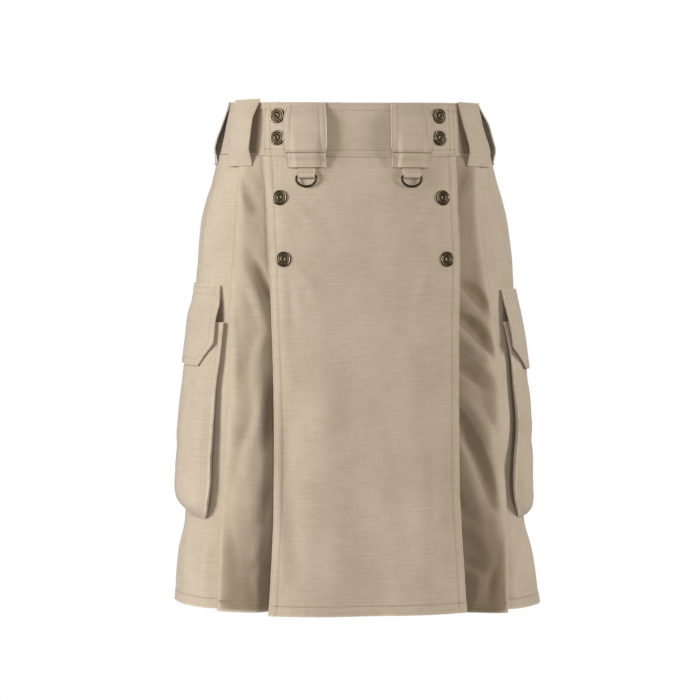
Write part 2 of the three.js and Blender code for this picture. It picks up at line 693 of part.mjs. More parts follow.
// The pocket's flap, with its two lower corners cut off
function flapGeometry(side) {
  const shares = [0, 0.1, 0.22, 0.36, 0.52, 0.7, 0.85, 1];
  const [front, stand] = side < 0 ? ['frontLeft', 'left'] : ['frontRight', 'right'];
  const clip = side < 0 ? FLAP.clipLeft : FLAP.clipRight;
  const drop = side < 0 ? 0 : FLAP.dropRight;
  const rows = shares.map((share) => {
    const z = mix(FLAP.top, FLAP.bottom, share) + drop;
    const cut = clip * Math.max((FLAP.bottom + FLAP.clipHeight + drop - z) / FLAP.clipHeight, 0);
    const from = read(FLAP_FORM, front, z) + cut;
    const to = FLAP.rear + rearGrowth(z) - cut;
    const out = read(FLAP_FORM, stand, z);
    const path = steps(11, from, to).map((along) => ({ along, out }));
    return rowOf(path, (along) => z + tiltLift(side, along, from - cut, z), side);
  });
  return clothWall(rows, STRAP_CLOTH);
}

// Finishes, and the tree of parts
const khaki = () => new THREE.MeshStandardMaterial({ color: 0xc2b299, roughness: 0.9, metalness: 0 });
const bronze = () => new THREE.MeshStandardMaterial({ color: 0x6f5f43, roughness: 0.38, metalness: 0.9 });

const kilt = new THREE.Group();
function add(name, geometry, material) {
  const mesh = new THREE.Mesh(geometry, material);
  mesh.name = name;
  kilt.add(mesh);
  return mesh;
}

const SIDES = [{ side: -1, suffix: 'left' }, { side: 1, suffix: 'right' }];

const bandPlaces = steps(45, BAND.tuckUnder, 2 * halfRound(0) - BAND.tuckUnder);
const flapPlaces = steps(19, -BAND.flapLeft, BAND.flapRight);
add('waistband', bandGeometry(bandPlaces, -BAND_CLOTH / 2, BAND_CLOTH), khaki());
add('waistband_front', bandGeometry(flapPlaces, BAND_FLAP_OUT, BAND_CLOTH), khaki());
add('apron', apronGeometry(), khaki());
add('back_panel', backPanelGeometry(), khaki());
add('back_loop', backLoopGeometry(), khaki());
LOOPS.forEach((loop) => add(loop.name, beltLoopGeometry(loop), khaki()));

SIDES.forEach(({ side, suffix }) => {
  add(`front_pleat_${suffix}`, frontPleatGeometry(side), khaki());
  add(`side_panel_${suffix}`, sidePanelGeometry(side), khaki());
  add(`front_loop_${suffix}`, frontLoopGeometry(side), khaki());
  const tab = add(`ring_tab_${suffix}`, tabGeometry(), khaki());
  seat(tab, side * loopMiddle(side), RING.barZ, 0, false);
  const ring = add(`d_ring_${suffix}`, ringGeometry(), bronze());
  seat(ring, side * loopMiddle(side), RING.barZ, RING.barOut, false);
  add(`pocket_${suffix}`, pocketGeometry(side), khaki());
  add(`pocket_flap_${suffix}`, flapGeometry(side), khaki());
  SNAPS.forEach((snap) => {
    const cap = add(`${snap.name}_${suffix}`, snapGeometry(), bronze());
    const faceOut = snap.onBand ? BAND_FLAP_OUT + BAND_CLOTH / 2 : APRON_OUT + CLOTH / 2;
    seat(cap, side * alongAtWidth(snap[suffix], snap.z), snap.z, faceOut + SEAM_GAP, true);
  });
});

export default kilt;
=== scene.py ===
import math

import bpy
import numpy as np
from mathutils import Matrix, Vector


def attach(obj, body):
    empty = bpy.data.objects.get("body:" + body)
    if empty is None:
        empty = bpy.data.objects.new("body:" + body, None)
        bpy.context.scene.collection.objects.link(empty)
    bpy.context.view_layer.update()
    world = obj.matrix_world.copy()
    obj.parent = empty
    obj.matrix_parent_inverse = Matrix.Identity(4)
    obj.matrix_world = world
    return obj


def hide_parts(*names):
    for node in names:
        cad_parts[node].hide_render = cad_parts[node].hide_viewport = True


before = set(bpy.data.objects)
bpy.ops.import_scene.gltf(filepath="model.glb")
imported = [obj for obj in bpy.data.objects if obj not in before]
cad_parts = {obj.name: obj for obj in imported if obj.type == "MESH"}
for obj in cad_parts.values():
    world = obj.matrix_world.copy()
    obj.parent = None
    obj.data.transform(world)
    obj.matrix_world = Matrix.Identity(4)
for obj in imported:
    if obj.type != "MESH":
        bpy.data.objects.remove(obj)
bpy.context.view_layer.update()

# A utility kilt in ripstop cotton, filled out as it is when worn, with nobody in it. The front
# faces -Y and left and right are as seen from the front. Cloth is worked out in millimetres on
# the same form as the frame's solids and becomes metres where a mesh is made.
MM = 0.001
SIDES = {-1: "left", 1: "right"}


def table(names, *rows):
    """Named columns from rows of numbers."""
    return dict(zip(names.split(), np.array(rows, float).T))


# The form: half width and half depth of the outer cloth at each height, and the hem's swing to +X
HEM_Z = -551
SQUARENESS = 2.2
FORM = table(
    "z width depth swing",
    (50, 143.5, 105, 0), (31, 147, 107.5, 0), (0, 153.5, 112, 0), (-31, 161.5, 116.5, 0),
    (-54, 167.5, 120, 0), (-78, 175, 124, 0), (-102, 180.5, 127, 0), (-137, 184.5, 130, 0.6),
    (-172, 187, 132.5, 0.4), (-240, 190.5, 137, 0), (-340, 195, 143.5, 0), (-455, 200.5, 151, 0),
    (-491, 208.4, 154, 1), (-551, 215.8, 158, 3.4),
)
# Half width and shift of the apron and of the pressed folds beside it, how far the cloth between
# them sinks in, and how far the fold opens over the side panel
FRONT = table(
    "z apron apron_shift fold fold_shift sink open",
    (-20, 109.5, -1.8, 138.5, 0.6, 0, 3.8), (-86, 109.8, -0.6, 139.5, -2.9, 0, 4),
    (-150, 109.5, 1.2, 145, -2.4, 0.5, 4.3), (-215, 108, 2, 152.4, 0.8, 7, 5),
    (-275, 106.6, 2.6, 155.5, 3.6, 14, 5.5), (-340, 105.4, 3, 158, 3.4, 21, 6.5),
    (-412, 105.6, 3, 163.4, 4.2, 26, 8.5), (-461, 107.2, 3.2, 165.8, 3.1, 29, 11),
    (-551, 112.4, -0.4, 167, -3.1, 34, 16),
)
# Height of each hem at its two ends, and the stretch of the form it slopes over
HEMS = {
    ("front_pleat", -1): (-549, -549.6, 110, 175),
    ("front_pleat", 1): (-552.4, -554.5, 110, 175),
    ("side_panel", -1): (-548, -547, 175, 270),
    ("side_panel", 1): (-551.5, -551.5, 175, 270),
}
APRON_HEM = (-551.8, -550)
APRON_SWELLS = ((-64, 36, 5), (70, 32, 4))
SWELL_STARTS_Z = -150
APRON_ROLL = {"left": 3.4, "right": 1.2, "reach": 20}
# The skirt's length below the band, the turned depth of its hem, and a row of points below the band
SKIRT_LENGTH, HEM_DEPTH, TOP_ROW = 516, 13.6, 6.5
BAND = {
    "top": 31, "top_rise": 9, "seam": -31, "seam_rise": 14,
    "flap_left": 116, "flap_right": 112.5, "tuck": 74,
}
BACK = {
    "folds": (30, 64, 98, 132), "underlap": 17, "open_top": 4.6, "open_hem": 15,
    "fell": -160, "reference": -172,
}

CLOTH, BAND_CLOTH, STRAP_CLOTH = 1.2, 2.4, 1.6
SEAM_GAP, PLY_PITCH, FOLD_REACH = 0.3, 1.9, 2.6
APRON_OUT, FACE_OUT, UNDER_FACE = 1.3, 1.2, -0.6
FRONT_UNDERLAP, SIDE_HIDE, READ_ALONG = 14, 22, 230
BROW = {-1: (0.28, 0.52, 0.84), 1: (0.62, 0.44, 0.78)}
LOOP_REST = 1.5 * SEAM_GAP + STRAP_CLOTH / 2
BAND_FLAP_OUT = 0.4 + BAND_CLOTH / 2

# Stitch lines: how far each lies from the edge or the fold that it holds
HEM_LINE, FOLD_LINE = 11.2, 2.4
STRAP_LINE, STRAP_INNER_LINE, STRAP_TOP_LINE, STRAP_FOOT_LINE, STRAP_TAB_LINE = 1.6, 7.4, 3, 2.5, 11
APRON_LINES, FLAP_LINES, FLAP_TOP_LINES = (1.8, 9.5), (1.8, 8), (3, 11)
POCKET_LINE, POCKET_FOOT_LINE = 4, 9
BAND_TOP_LINES, BAND_FOOT_LINES = (2.2, 9.5), (8, 2)
BAND_FLAP_LINES, BAND_FLAP_ENDS = (2.2, 9, 54.5), (2, 8.5)

LOOPS = {
    "side_loop_left": dict(side=-1, top=146, foot=149.8, width=37, flare=9, rise=3.2, foot_z=-40.5,
                           front=10, rear=1.5, full=0.34, foot_out=2.9),
    "side_loop_right": dict(side=1, top=141.5, foot=150, width=42, flare=0, rise=0.4, foot_z=-40.5,
                            front=7.4, rear=5, full=0.76, foot_out=2.9),
    "hip_loop_left": dict(side=-1, top=228, foot=228, width=44, flare=0, rise=0.4, foot_z=-37,
                          front=6.6, rear=0.5, full=0.7, foot_out=1.3),
    "hip_loop_right": dict(side=1, top=228, foot=228, width=44, flare=0, rise=0.4, foot_z=-37,
                           front=7, rear=0.5, full=0.42, foot_out=1.3),
}
FRONT_LOOP = {-1: 64.6, 1: 54.2, "width": 44, "belly": 4, "fold": -26.5, "foot": -43, "bow": 7}
BACK_LOOP = {"width": 44, "foot": -30, "bow": 6.5}
RING = {"bar": -52.6, "wire": 1.3, "inner": 20.6, "drop": 13.4, "lean": 5, "out": 5.4, "corner": 2.6}
TAB = {"width": 19.8, "top": -34, "middle": -40, "neck": 7, "clearance": 0.4}
SNAPS = {
    "snap_waist_upper": (16.5, 95.4, 88.4, True), "snap_waist_lower": (-9, 95.6, 88.2, True),
    "snap_apron_upper": (-77.5, 94.2, 90.8, False), "snap_apron_lower": (-147.5, 91.4, 94.4, False),
}
SNAP_RADIUS = 8.75

POCKET = {"rear": 352, "top": -220, "bottom": -446, "bellows": 15, "front_lift": 0.66}
POCKET_REFERENCE_Z = -340
TILT = {"top": 0.03, "bottom": 0.15, "reach": 85, "start": -290, "over": 150}
DROP = {"pocket": -1, "flap": -5}
POCKET_FORM = table(
    "z front_left front_right left right",
    (-220, 169, 180, 5.4, 6.2), (-240, 171, 186, 6.4, 8.4), (-265, 174, 193, 7.9, 10.4),
    (-294, 178.5, 196, 9.8, 12.2), (-333, 181, 201, 11.8, 14.4), (-352, 182, 199, 12.8, 14.8),
    (-378, 184, 194, 13.6, 14.4), (-405, 185, 192, 13.4, 13.6), (-424, 188, 194.5, 13.8, 12.4),
    (-434, 190.5, 199, 12.6, 11.2), (-441, 194, 205, 9.2, 8.4), (-446, 200, 212, 3.4, 3.4),
)
FLAP = {
    "rear": 355, "top": -178, "bottom": -271,
    "clip_left": 25, "clip_right": 32, "clip_height": 27,
}
FLAP_FORM = table(
    "z front_left front_right left right",
    (-178, 176, 178, 1.7, 1.7), (-188, 175, 178.5, 2.5, 3), (-200, 174.5, 179.5, 3.8, 5.4),
    (-213, 175.5, 181.5, 7.2, 7.8), (-222, 176.5, 183, 8.2, 9.2), (-240, 177.5, 185, 9.2, 11.4),
    (-260, 178, 185, 10.6, 13.2), (-277, 178, 185, 11.6, 14.4),
)


# Reading tables and the form

def mix(a, b, t):
    return a + (b - a) * t


def ease(t):
    t = np.clip(t, 0, 1)
    return t * t * (3 - 2 * t)


def read(rows, column, z):
    """A table's column at heights z, smooth between its rows."""
    z = np.asarray(z, float)
    heights, values = rows["z"], rows[column]
    count = len(heights)
    i = np.clip(np.searchsorted(-heights, -z, side="right") - 1, 0, count - 2)
    before, after = np.maximum(np.arange(count) - 1, 0), np.minimum(np.arange(count) + 1, count - 1)
    slopes = (values[after] - values[before]) / (heights[after] - heights[before])
    step = heights[i + 1] - heights[i]
    t = np.clip((z - heights[i]) / step, 0, 1)
    start = 2 * t**3 - 3 * t**2 + 1
    bend = slopes[i] * (t**3 - 2 * t**2 + t) + slopes[i + 1] * (t**3 - t**2)
    return values[i] * start + values[i + 1] * (1 - start) + step * bend


def section(angle, z):
    """A level section of the form: angle is 0 at the centre front and pi at the centre back."""
    power = 2 / SQUARENESS
    turn = np.cos(angle)
    x = read(FORM, "width", z) * np.abs(np.sin(angle)) ** power
    y = -read(FORM, "depth", z) * np.sign(turn) * np.abs(turn) ** power
    return x, y


# A step off the centre back that keeps a place on its own side of it
JUST_PAST = 0.001
SAMPLES = 721
LEVEL_TOP, LEVEL_FOOT, LEVEL_STEP = 60, -575, 5
LEVELS = np.arange(LEVEL_TOP, LEVEL_FOOT, -LEVEL_STEP, dtype=float)
ANGLES = np.linspace(0, math.pi, SAMPLES)
LEVEL_X, LEVEL_Y = section(ANGLES[None], LEVELS[:, None])
LENGTHS = np.zeros((len(LEVELS), SAMPLES))
LENGTHS[:, 1:] = np.cumsum(np.hypot(np.diff(LEVEL_X), np.diff(LEVEL_Y)), axis=1)
SHARES = np.linspace(0, 1, SAMPLES)
ANGLE_AT = np.array([np.interp(SHARES * row[-1], row, ANGLES) for row in LENGTHS])


def lookup(grid, z, share):
    level = np.clip((LEVELS[0] - np.asarray(z, float)) / LEVEL_STEP, 0, len(LEVELS) - 1.001)
    place = np.clip(np.asarray(share, float) * (SAMPLES - 1), 0, SAMPLES - 1.001)
    i, j = level.astype(int), place.astype(int)
    u, v = level - i, place - j
    upper = mix(grid[i, j], grid[i, j + 1], v)
    return mix(upper, mix(grid[i + 1, j], grid[i + 1, j + 1], v), u)


def half_round(z):
    return lookup(LENGTHS, z, 1.0)


def along_at_width(width, z):
    """Distance from the centre front at which the front half of a section is this far across."""
    angle = np.arcsin((width / read(FORM, "width", z)) ** (SQUARENESS / 2))
    return lookup(LENGTHS, z, angle / math.pi)


def on_form(along, z, out=0.0):
    """Points and outward normals at distances from the centre front, negative on the left side."""
    along, z, out = np.broadcast_arrays(*(np.asarray(value, float) for value in (along, z, out)))
    half = half_round(z)
    side = np.where(along < 0, -1.0, 1.0)
    past = np.abs(along) > half
    distance = np.where(past, 2 * half - np.abs(along), np.abs(along))
    side = np.where(past, -side, side)
    x, y = section(lookup(ANGLE_AT, z, distance / half), z)
    width, depth = read(FORM, "width", z), read(FORM, "depth", z)
    nx = np.abs(x / width) ** (SQUARENESS - 1) / width
    ny = np.sign(y) * np.abs(y / depth) ** (SQUARENESS - 1) / depth
    size = np.hypot(nx, ny)
    normal = np.stack([side * nx / size, ny / size, np.zeros_like(nx)], -1)
    point = np.stack([side * x + read(FORM, "swing", z), y, z], -1)
    return point + normal * out[..., None], normal


def round_share(along, z):
    return (1 - np.cos(math.pi * np.abs(along) / half_round(z))) / 2


def band_top(along):
    return BAND["top"] + BAND["top_rise"] * round_share(along, BAND["top"])


def band_seam(along):
    return BAND["seam"] + BAND["seam_rise"] * round_share(along, BAND["seam"])


def skirt_height(share, along, hem=HEM_Z):
    return mix(band_seam(along) - SEAM_GAP, hem, share)


def edge_along(column, z, side):
    return along_at_width(read(FRONT, column, z) + side * read(FRONT, column + "_shift", z), z)


# Uneven cloth: soft noise, creases laid one by one, and the relief of hems and stitch lines

LATTICE_SIZE = 96
LATTICE_START = 400
LATTICE = np.random.default_rng(23).uniform(-1, 1, (LATTICE_SIZE, LATTICE_SIZE))


def unevenness(u, v, shift=0):
    """Smooth value noise from -1 to 1, one lattice cell per unit."""
    u, v = np.broadcast_arrays(np.asarray(u, float), np.asarray(v, float))
    u, v = u + 7.3 * shift + LATTICE_START, v + 3.1 * shift + LATTICE_START
    i, j = np.floor(u).astype(int), np.floor(v).astype(int)
    a, b = ease(u - i), ease(v - j)

    def cell(m, n):
        return LATTICE[(i + m) % LATTICE_SIZE, (j + n) % LATTICE_SIZE]
    return mix(mix(cell(0, 0), cell(1, 0), a), mix(cell(0, 1), cell(1, 1), a), b)


def rumple(u, v, shift=0, strength=1.0):
    """Low crumples of worn cotton, longer down the cloth than across it."""
    broad = 0.8 * unevenness(u / 46, v / 95, shift)
    middle = 0.36 * unevenness(u / 19 + 0.3 * broad, v / 34, shift + 1)
    fine = 0.13 * unevenness(u / 8, v / 12, shift + 2)
    return strength * (broad + middle + fine)


def creases(rows, s, z):
    """Soft creases: each is a trough or ridge from one place to another, with a lower fold beside it."""
    total = np.zeros(np.broadcast(s, z).shape)
    for s1, z1, s2, z2, width, depth, bow in rows:
        ds, dz = s2 - s1, z2 - z1
        length = math.hypot(ds, dz)
        t = ((s - s1) * ds + (z - z1) * dz) / length**2
        inside = np.clip(t, 0, 1)
        off = ((s - s1) * dz - (z - z1) * ds) / length + bow * 4 * inside * (1 - inside)
        fade = np.exp(-(((t - inside) * length / (1.6 * width)) ** 2))
        fade = fade * (0.35 + 0.65 * ease(3 * inside) * ease(3 - 3 * inside))
        q = off / width
        total += depth * fade * (np.exp(-q * q) - 0.42 * np.exp(-(((q - 1.8) / 1.2) ** 2)))
    return total


def stitch_trough(distance, depth=0.3):
    return -1.5 * depth * np.exp(-((distance / 1.25) ** 2))


def seam_shade(distance):
    """Painted shade in the trough where stitches pull the cloth in; it is taken off the sheet's values of
    wear and painted shade.
    """
    return 0.5 * np.exp(-((distance / 1.2) ** 2))


def edge_wear(distance, reach=1.3):
    """A sheet's wear is full at an edge or a fold and fades away from it."""
    return np.exp(-distance / reach)


def doubled(distance, width, rise):
    """Cloth stands a little higher where it lies double at a turned edge."""
    return rise * (1 - ease((distance - width) / 1.6))


def pucker(distance, run, reach=5.0, height=0.45, shift=0):
    """Little gathers beside a line of stitches."""
    return height * np.exp(-np.abs(distance) / reach) * unevenness(run / 6.5, 0.5 * shift, shift)


def turned_hem(up, run, thick=0.7, shift=0):
    """A folded hem: thicker up to its line of stitches, pinched at the line, gathered beside it."""
    past = up - HEM_LINE
    step = thick * (1 - ease((past - 0.4) / 1.8))
    return step + stitch_trough(past) + pucker(past, run, shift=shift)


# Sheets of cloth

def smooth_along(values, knots, places):
    """Values at new places along a path, smooth and never past the values beside them."""
    gap = np.diff(knots)[:, None]
    slope = np.diff(values, axis=0) / gap
    tangent = np.zeros_like(values)
    tangent[0], tangent[-1] = slope[0], slope[-1]
    near, far = 2 * gap[1:] + gap[:-1], gap[1:] + 2 * gap[:-1]
    same = slope[:-1] * slope[1:] > 0
    safe = np.where(same, slope[:-1], 1.0), np.where(same, slope[1:], 1.0)
    tangent[1:-1] = np.where(same, (near + far) / (near / safe[0] + far / safe[1]), 0)
    i = np.clip(np.searchsorted(knots, places, side="right") - 1, 0, len(knots) - 2)
    t = ((places - knots[i]) / gap[i, 0])[:, None]
    start = 2 * t**3 - 3 * t**2 + 1
    bend = tangent[i] * (t**3 - 2 * t**2 + t) + tangent[i + 1] * (t**3 - t**2)
    return values[i] * start + values[i + 1] * (1 - start) + gap[i] * bend


LINE_PLACES = np.array([-1.5, -0.75, 0, 0.75, 1.5])


def stations(knots, spacing, lines=()):
    """Places along a path: every knot, even steps between knots, and close ones at stitch lines."""
    places = [np.linspace(a, b, max(1, math.ceil((b - a) / spacing)) + 1)
              for a, b in zip(knots, knots[1:])]
    places += [line + LINE_PLACES for line in lines]
    ordered = np.unique(np.clip(np.concatenate(places), knots[0], knots[-1]))
    keep = [0]
    for i in range(1, len(ordered) - 1):
        if ordered[i] - ordered[keep[-1]] > 0.3:
            keep.append(i)
    return np.append(ordered[keep], ordered[-1])


class Sheet:
    """Cloth as rows of points with outward normals; u runs across the cut and v down it."""

    def __init__(self, points, u, v, wear_and_painted_shade=None):
        self.points, self.u, self.v = points, u, v
        self.wear_and_painted_shade = np.zeros(points.shape[:2]) if wear_and_painted_shade is None else wear_and_painted_shade
        across = np.gradient(points, axis=1)
        down = np.gradient(points, axis=0)
        normals = np.cross(down, across)
        self.normals = normals / np.maximum(np.linalg.norm(normals, axis=2, keepdims=True), 1e-9)

    def at(self, u, v):
        """Points and normals at places of the cut."""
        column = np.interp(u, self.u, np.arange(len(self.u)))
        row = np.interp(v, self.v, np.arange(len(self.v)))
        i = np.minimum(row.astype(int), len(self.v) - 2)
        j = np.minimum(column.astype(int), len(self.u) - 2)
        a, b = (row - i)[:, None], (column - j)[:, None]

        def blend(field):
            upper = mix(field[i, j], field[i, j + 1], b)
            return mix(upper, mix(field[i + 1, j], field[i + 1, j + 1], b), a)
        return blend(self.points), blend(self.normals)


def link(name, mesh):
    piece = bpy.data.objects.new(name, mesh)
    bpy.context.scene.collection.objects.link(piece)
    return piece


def active(piece):
    bpy.ops.object.select_all(action="DESELECT")
    piece.select_set(True)
    bpy.context.view_layer.objects.active = piece


def apply_modifiers(piece):
    active(piece)
    for modifier in list(piece.modifiers):
        bpy.ops.object.modifier_apply(modifier=modifier.name)


def point_outwards(piece):
    """Turns a closed mesh's faces outwards and shades it smooth."""
    active(piece)
    bpy.ops.object.mode_set(mode="EDIT")
    bpy.ops.mesh.select_all(action="SELECT")
    bpy.ops.mesh.normals_make_consistent(inside=False)
    bpy.ops.object.mode_set(mode="OBJECT")
    bpy.ops.object.shade_smooth()


def paint(mesh, name, values):
    layer = mesh.attributes.new(name, "FLOAT", "POINT")
    layer.data.foreach_set("value", np.asarray(values, np.float32))


def sew(name, sheet, node, thickness):
    """A sheet becomes a thin closed shell that stands for its node."""
    rows, columns = sheet.points.shape[:2]
    k = (np.arange(rows - 1)[:, None] * columns + np.arange(columns - 1)).ravel()
    quads = np.stack([k, k + columns, k + columns + 1, k + 1], 1)
    mesh = bpy.data.meshes.new(name)
    mesh.from_pydata((sheet.points.reshape(-1, 3) * MM).tolist(), [], quads.tolist())
    layer = mesh.uv_layers.new(name="cut")
    cut = np.stack(np.meshgrid(sheet.u * MM, -sheet.v * MM), -1).reshape(-1, 2)
    layer.data.foreach_set("uv", cut[quads.ravel()].astype(np.float32).ravel())
    # Worn edges, above zero, and painted shade, below zero, go on the mesh as one attribute.
    paint(mesh, "wear_and_painted_shade", sheet.wear_and_painted_shade.ravel())
    piece = link(name, mesh)
    shell = piece.modifiers.new("cloth", "SOLIDIFY")
    shell.thickness, shell.offset = thickness * MM, 0
    apply_modifiers(piece)
    bpy.ops.object.shade_smooth_by_angle(angle=math.radians(50))
    piece.data.materials.append(KHAKI)
    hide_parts(node)
    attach(piece, "kilt")
    return piece


def declare(sheet):
    """Works out the cross products of the two halves of every cell of the sheet, and keeps nothing of them.
    """
    near, far = sheet.points[:-1, :-1], sheet.points[1:, 1:]
    right, below = sheet.points[:-1, 1:], sheet.points[1:, :-1]
    halves = [np.cross(below - corner, right - corner) for corner in (near, far)]


# Skirt panels

def fine_path(controls, spacing, lines=()):
    """A path given by a few places at every height becomes close columns; also where each knot is.

    lines are stitch lines, each given by its knot and its distance from that knot.
    """
    along = np.array(np.broadcast_arrays(*(a for a, _ in controls)))
    out = np.array(np.broadcast_arrays(*(o for _, o in controls)))
    chords = np.hypot(np.diff(along, axis=0), np.diff(out, axis=0)).mean(axis=1)
    knots = np.concatenate([[0], np.cumsum(chords)])
    places = stations(knots, spacing, [knots[k] + gap for k, gap in lines])
    return smooth_along(along, knots, places).T, smooth_along(out, knots, places).T, places, knots


def skirt_rows(length, spacing=3.4):
    """Shares of the way down, close together at the hem's fold and its line of stitches."""
    close = (length - HEM_LINE, length - HEM_DEPTH, TOP_ROW)
    return stations(np.array([0, length]), spacing, close) / length


def fold_turn(fold, top):
    """A pressed fold from the end of its face, round its edge and back under it."""
    return [
        (fold - FOLD_REACH, top), (fold - 0.4, top - 0.2 * PLY_PITCH), (fold, top - 0.5 * PLY_PITCH),
        (fold - 0.4, top - 0.8 * PLY_PITCH), (fold - FOLD_REACH, top - PLY_PITCH),
    ]


def panel(controls_at, height_at, side, relief, spacing=3.2, lines=()):
    """A skirt panel. relief gives the cloth's own unevenness, and its wear and painted shade, from its
    places.
    """
    shares = skirt_rows(SKIRT_LENGTH)
    z_read = skirt_height(shares, READ_ALONG)
    along, out, u, knots = fine_path(controls_at(z_read, side), spacing, lines)
    z = height_at(shares[:, None], along)
    base, _ = on_form(side * along, z, out)
    up = (1 - shares[:, None]) * SKIRT_LENGTH + 0 * u
    bumps, wear_and_painted_shade = relief(base[..., 0], z, side * along, u + 0 * up, up, knots)
    points, _ = on_form(side * along, z, out + bumps)
    v = shares * SKIRT_LENGTH
    if side < 0:
        points, u, wear_and_painted_shade = points[:, ::-1], u[-1] - u[::-1], wear_and_painted_shade[:, ::-1]
    return Sheet(points, u, v, wear_and_painted_shade)


APRON_CREASES = (
    # from across, height; to across, height; half width, rise, bow
    (-93, -24, -78, -52, 4.5, 1.0, 2), (-99, -22, -101, -62, 4, -0.9, -2), (-86, -84, -60, -104, 5, 0.8, 3),
    (90, -22, 74, -48, 4.5, 1.0, -2), (97, -24, 101, -64, 4, -0.9, 2), (84, -84, 62, -110, 5, 0.8, -3),
    (-84, -152, -52, -196, 7, 1.1, 5), (-90, -156, -84, -232, 7, -1.2, 3), (86, -152, 60, -206, 7, 1.0, -5),
    (-60, -44, -22, -128, 11, 0.9, 6), (44, -44, 16, -150, 12, 0.8, -8), (2, -40, 10, -210, 13, -0.7, 6),
    (-46, -210, -58, -420, 15, 1.5, 8), (-8, -230, 6, -520, 19, -2.2, -10),
    (46, -250, 62, -500, 16, 1.6, 8),
    (-88, -300, -70, -540, 12, -1.8, -6), (88, -330, 76, -545, 11, -1.7, 6),
    (22, -430, 38, -548, 12, 1.6, 4), (-30, -440, -36, -548, 11, 1.3, -4),
    (-104, -380, -98, -520, 6, 1.2, 3), (30, -90, 84, -128, 8, -0.6, 6),
)


def apron_height(share, along, left, right):
    hem = mix(APRON_HEM[0], APRON_HEM[1], (along - left) / (right - left))
    return skirt_height(share, along, hem)


def apron_sheet():
    shares = skirt_rows(SKIRT_LENGTH)[:, None]
    z_middle = skirt_height(shares, 0.0)
    left, right = -edge_along("apron", z_middle, -1), edge_along("apron", z_middle, 1)
    width = float((right - left).mean())
    outer, inner = APRON_LINES
    u = stations(np.array([0, width]), 3.1, (outer, inner, width - inner, width - outer))
    along = left + (right - left) * u / width
    z = apron_height(shares, along, left, right)
    grown = ease((SWELL_STARTS_Z - z) / (SWELL_STARTS_Z - HEM_Z))
    swells = [rise * np.exp(-(((along - at) / spread) ** 2)) for at, spread, rise in APRON_SWELLS]
    out = APRON_OUT + grown * sum(swells)
    up, down = (1 - shares) * SKIRT_LENGTH + 0 * u, shares * SKIRT_LENGTH + 0 * u
    edge = np.minimum(u, width - u) + 0 * down
    loose = ease((down - 4) / 30)
    bumps = creases(APRON_CREASES, along, z) * loose + rumple(u, down, 1, 1.25) * loose
    bumps = bumps * mix(0.35, 1, ease(edge / 16))
    bumps += turned_hem(up, u + 0 * up, shift=3)
    bumps += doubled(edge, 9.8, 0.5)
    bumps += stitch_trough(edge - inner, 0.28) + stitch_trough(edge - outer, 0.2)
    bumps += pucker(edge - inner, down, shift=5, height=0.26) + pucker(down - 2, u, 11, 0.9, 6)
    rolled = ease((-46 - z) / 40) * ease((z + 360) / 110)
    roll_left, roll_right = (APRON_ROLL[end] * rolled for end in ("left", "right"))
    bumps -= (roll_left * (1 - ease(u / APRON_ROLL["reach"]))
              + roll_right * (1 - ease((width - u) / APRON_ROLL["reach"])))
    wear_and_painted_shade = np.maximum(edge_wear(edge, 1.2), edge_wear(up, 1.4))
    # Painted shade along the hem's and the inner edge's stitch lines, and along the top seam under the
    # band.
    wear_and_painted_shade = wear_and_painted_shade - seam_shade(up - HEM_LINE) - 0.7 * seam_shade(edge - inner) - 0.5 * seam_shade(down)
    points, _ = on_form(along, z, out + bumps)
    return Sheet(points, u, down[:, 0], wear_and_painted_shade)


def sloping_height(name, side):
    front, rear, start, stop = HEMS[name, side]

    def height(share, along):
        reach = np.clip((np.abs(along) - start) / (stop - start), 0, 1)
        return skirt_height(share, along, mix(front, rear, reach))
    return height


def front_pleat_path(z, side):
    edge, fold = edge_along("apron", z, side), edge_along("fold", z, side)
    sink, opening = read(FRONT, "sink", z), read(FRONT, "open", z)
    level = UNDER_FACE - sink
    back_out = FACE_OUT - PLY_PITCH
    hidden = FACE_OUT + CLOTH + SEAM_GAP - opening
    share, half, there = BROW[side]
    brow = mix(edge, fold, share)
    return [
        (edge - 42, level * 0.9 - 0.06), (edge - 26, level), (edge - 9, level),
        (edge + 3, mix(level, UNDER_FACE, 0.14)), (mix(edge, brow, 0.5), mix(level, FACE_OUT, half)),
        (brow, mix(level, FACE_OUT, there)), (mix(brow, fold, 0.5), mix(level, FACE_OUT, 0.96)),
        *fold_turn(fold, FACE_OUT),
        (fold - FRONT_UNDERLAP / 2, mix(back_out, hidden, 0.45)), (fold - FRONT_UNDERLAP, hidden),
    ]


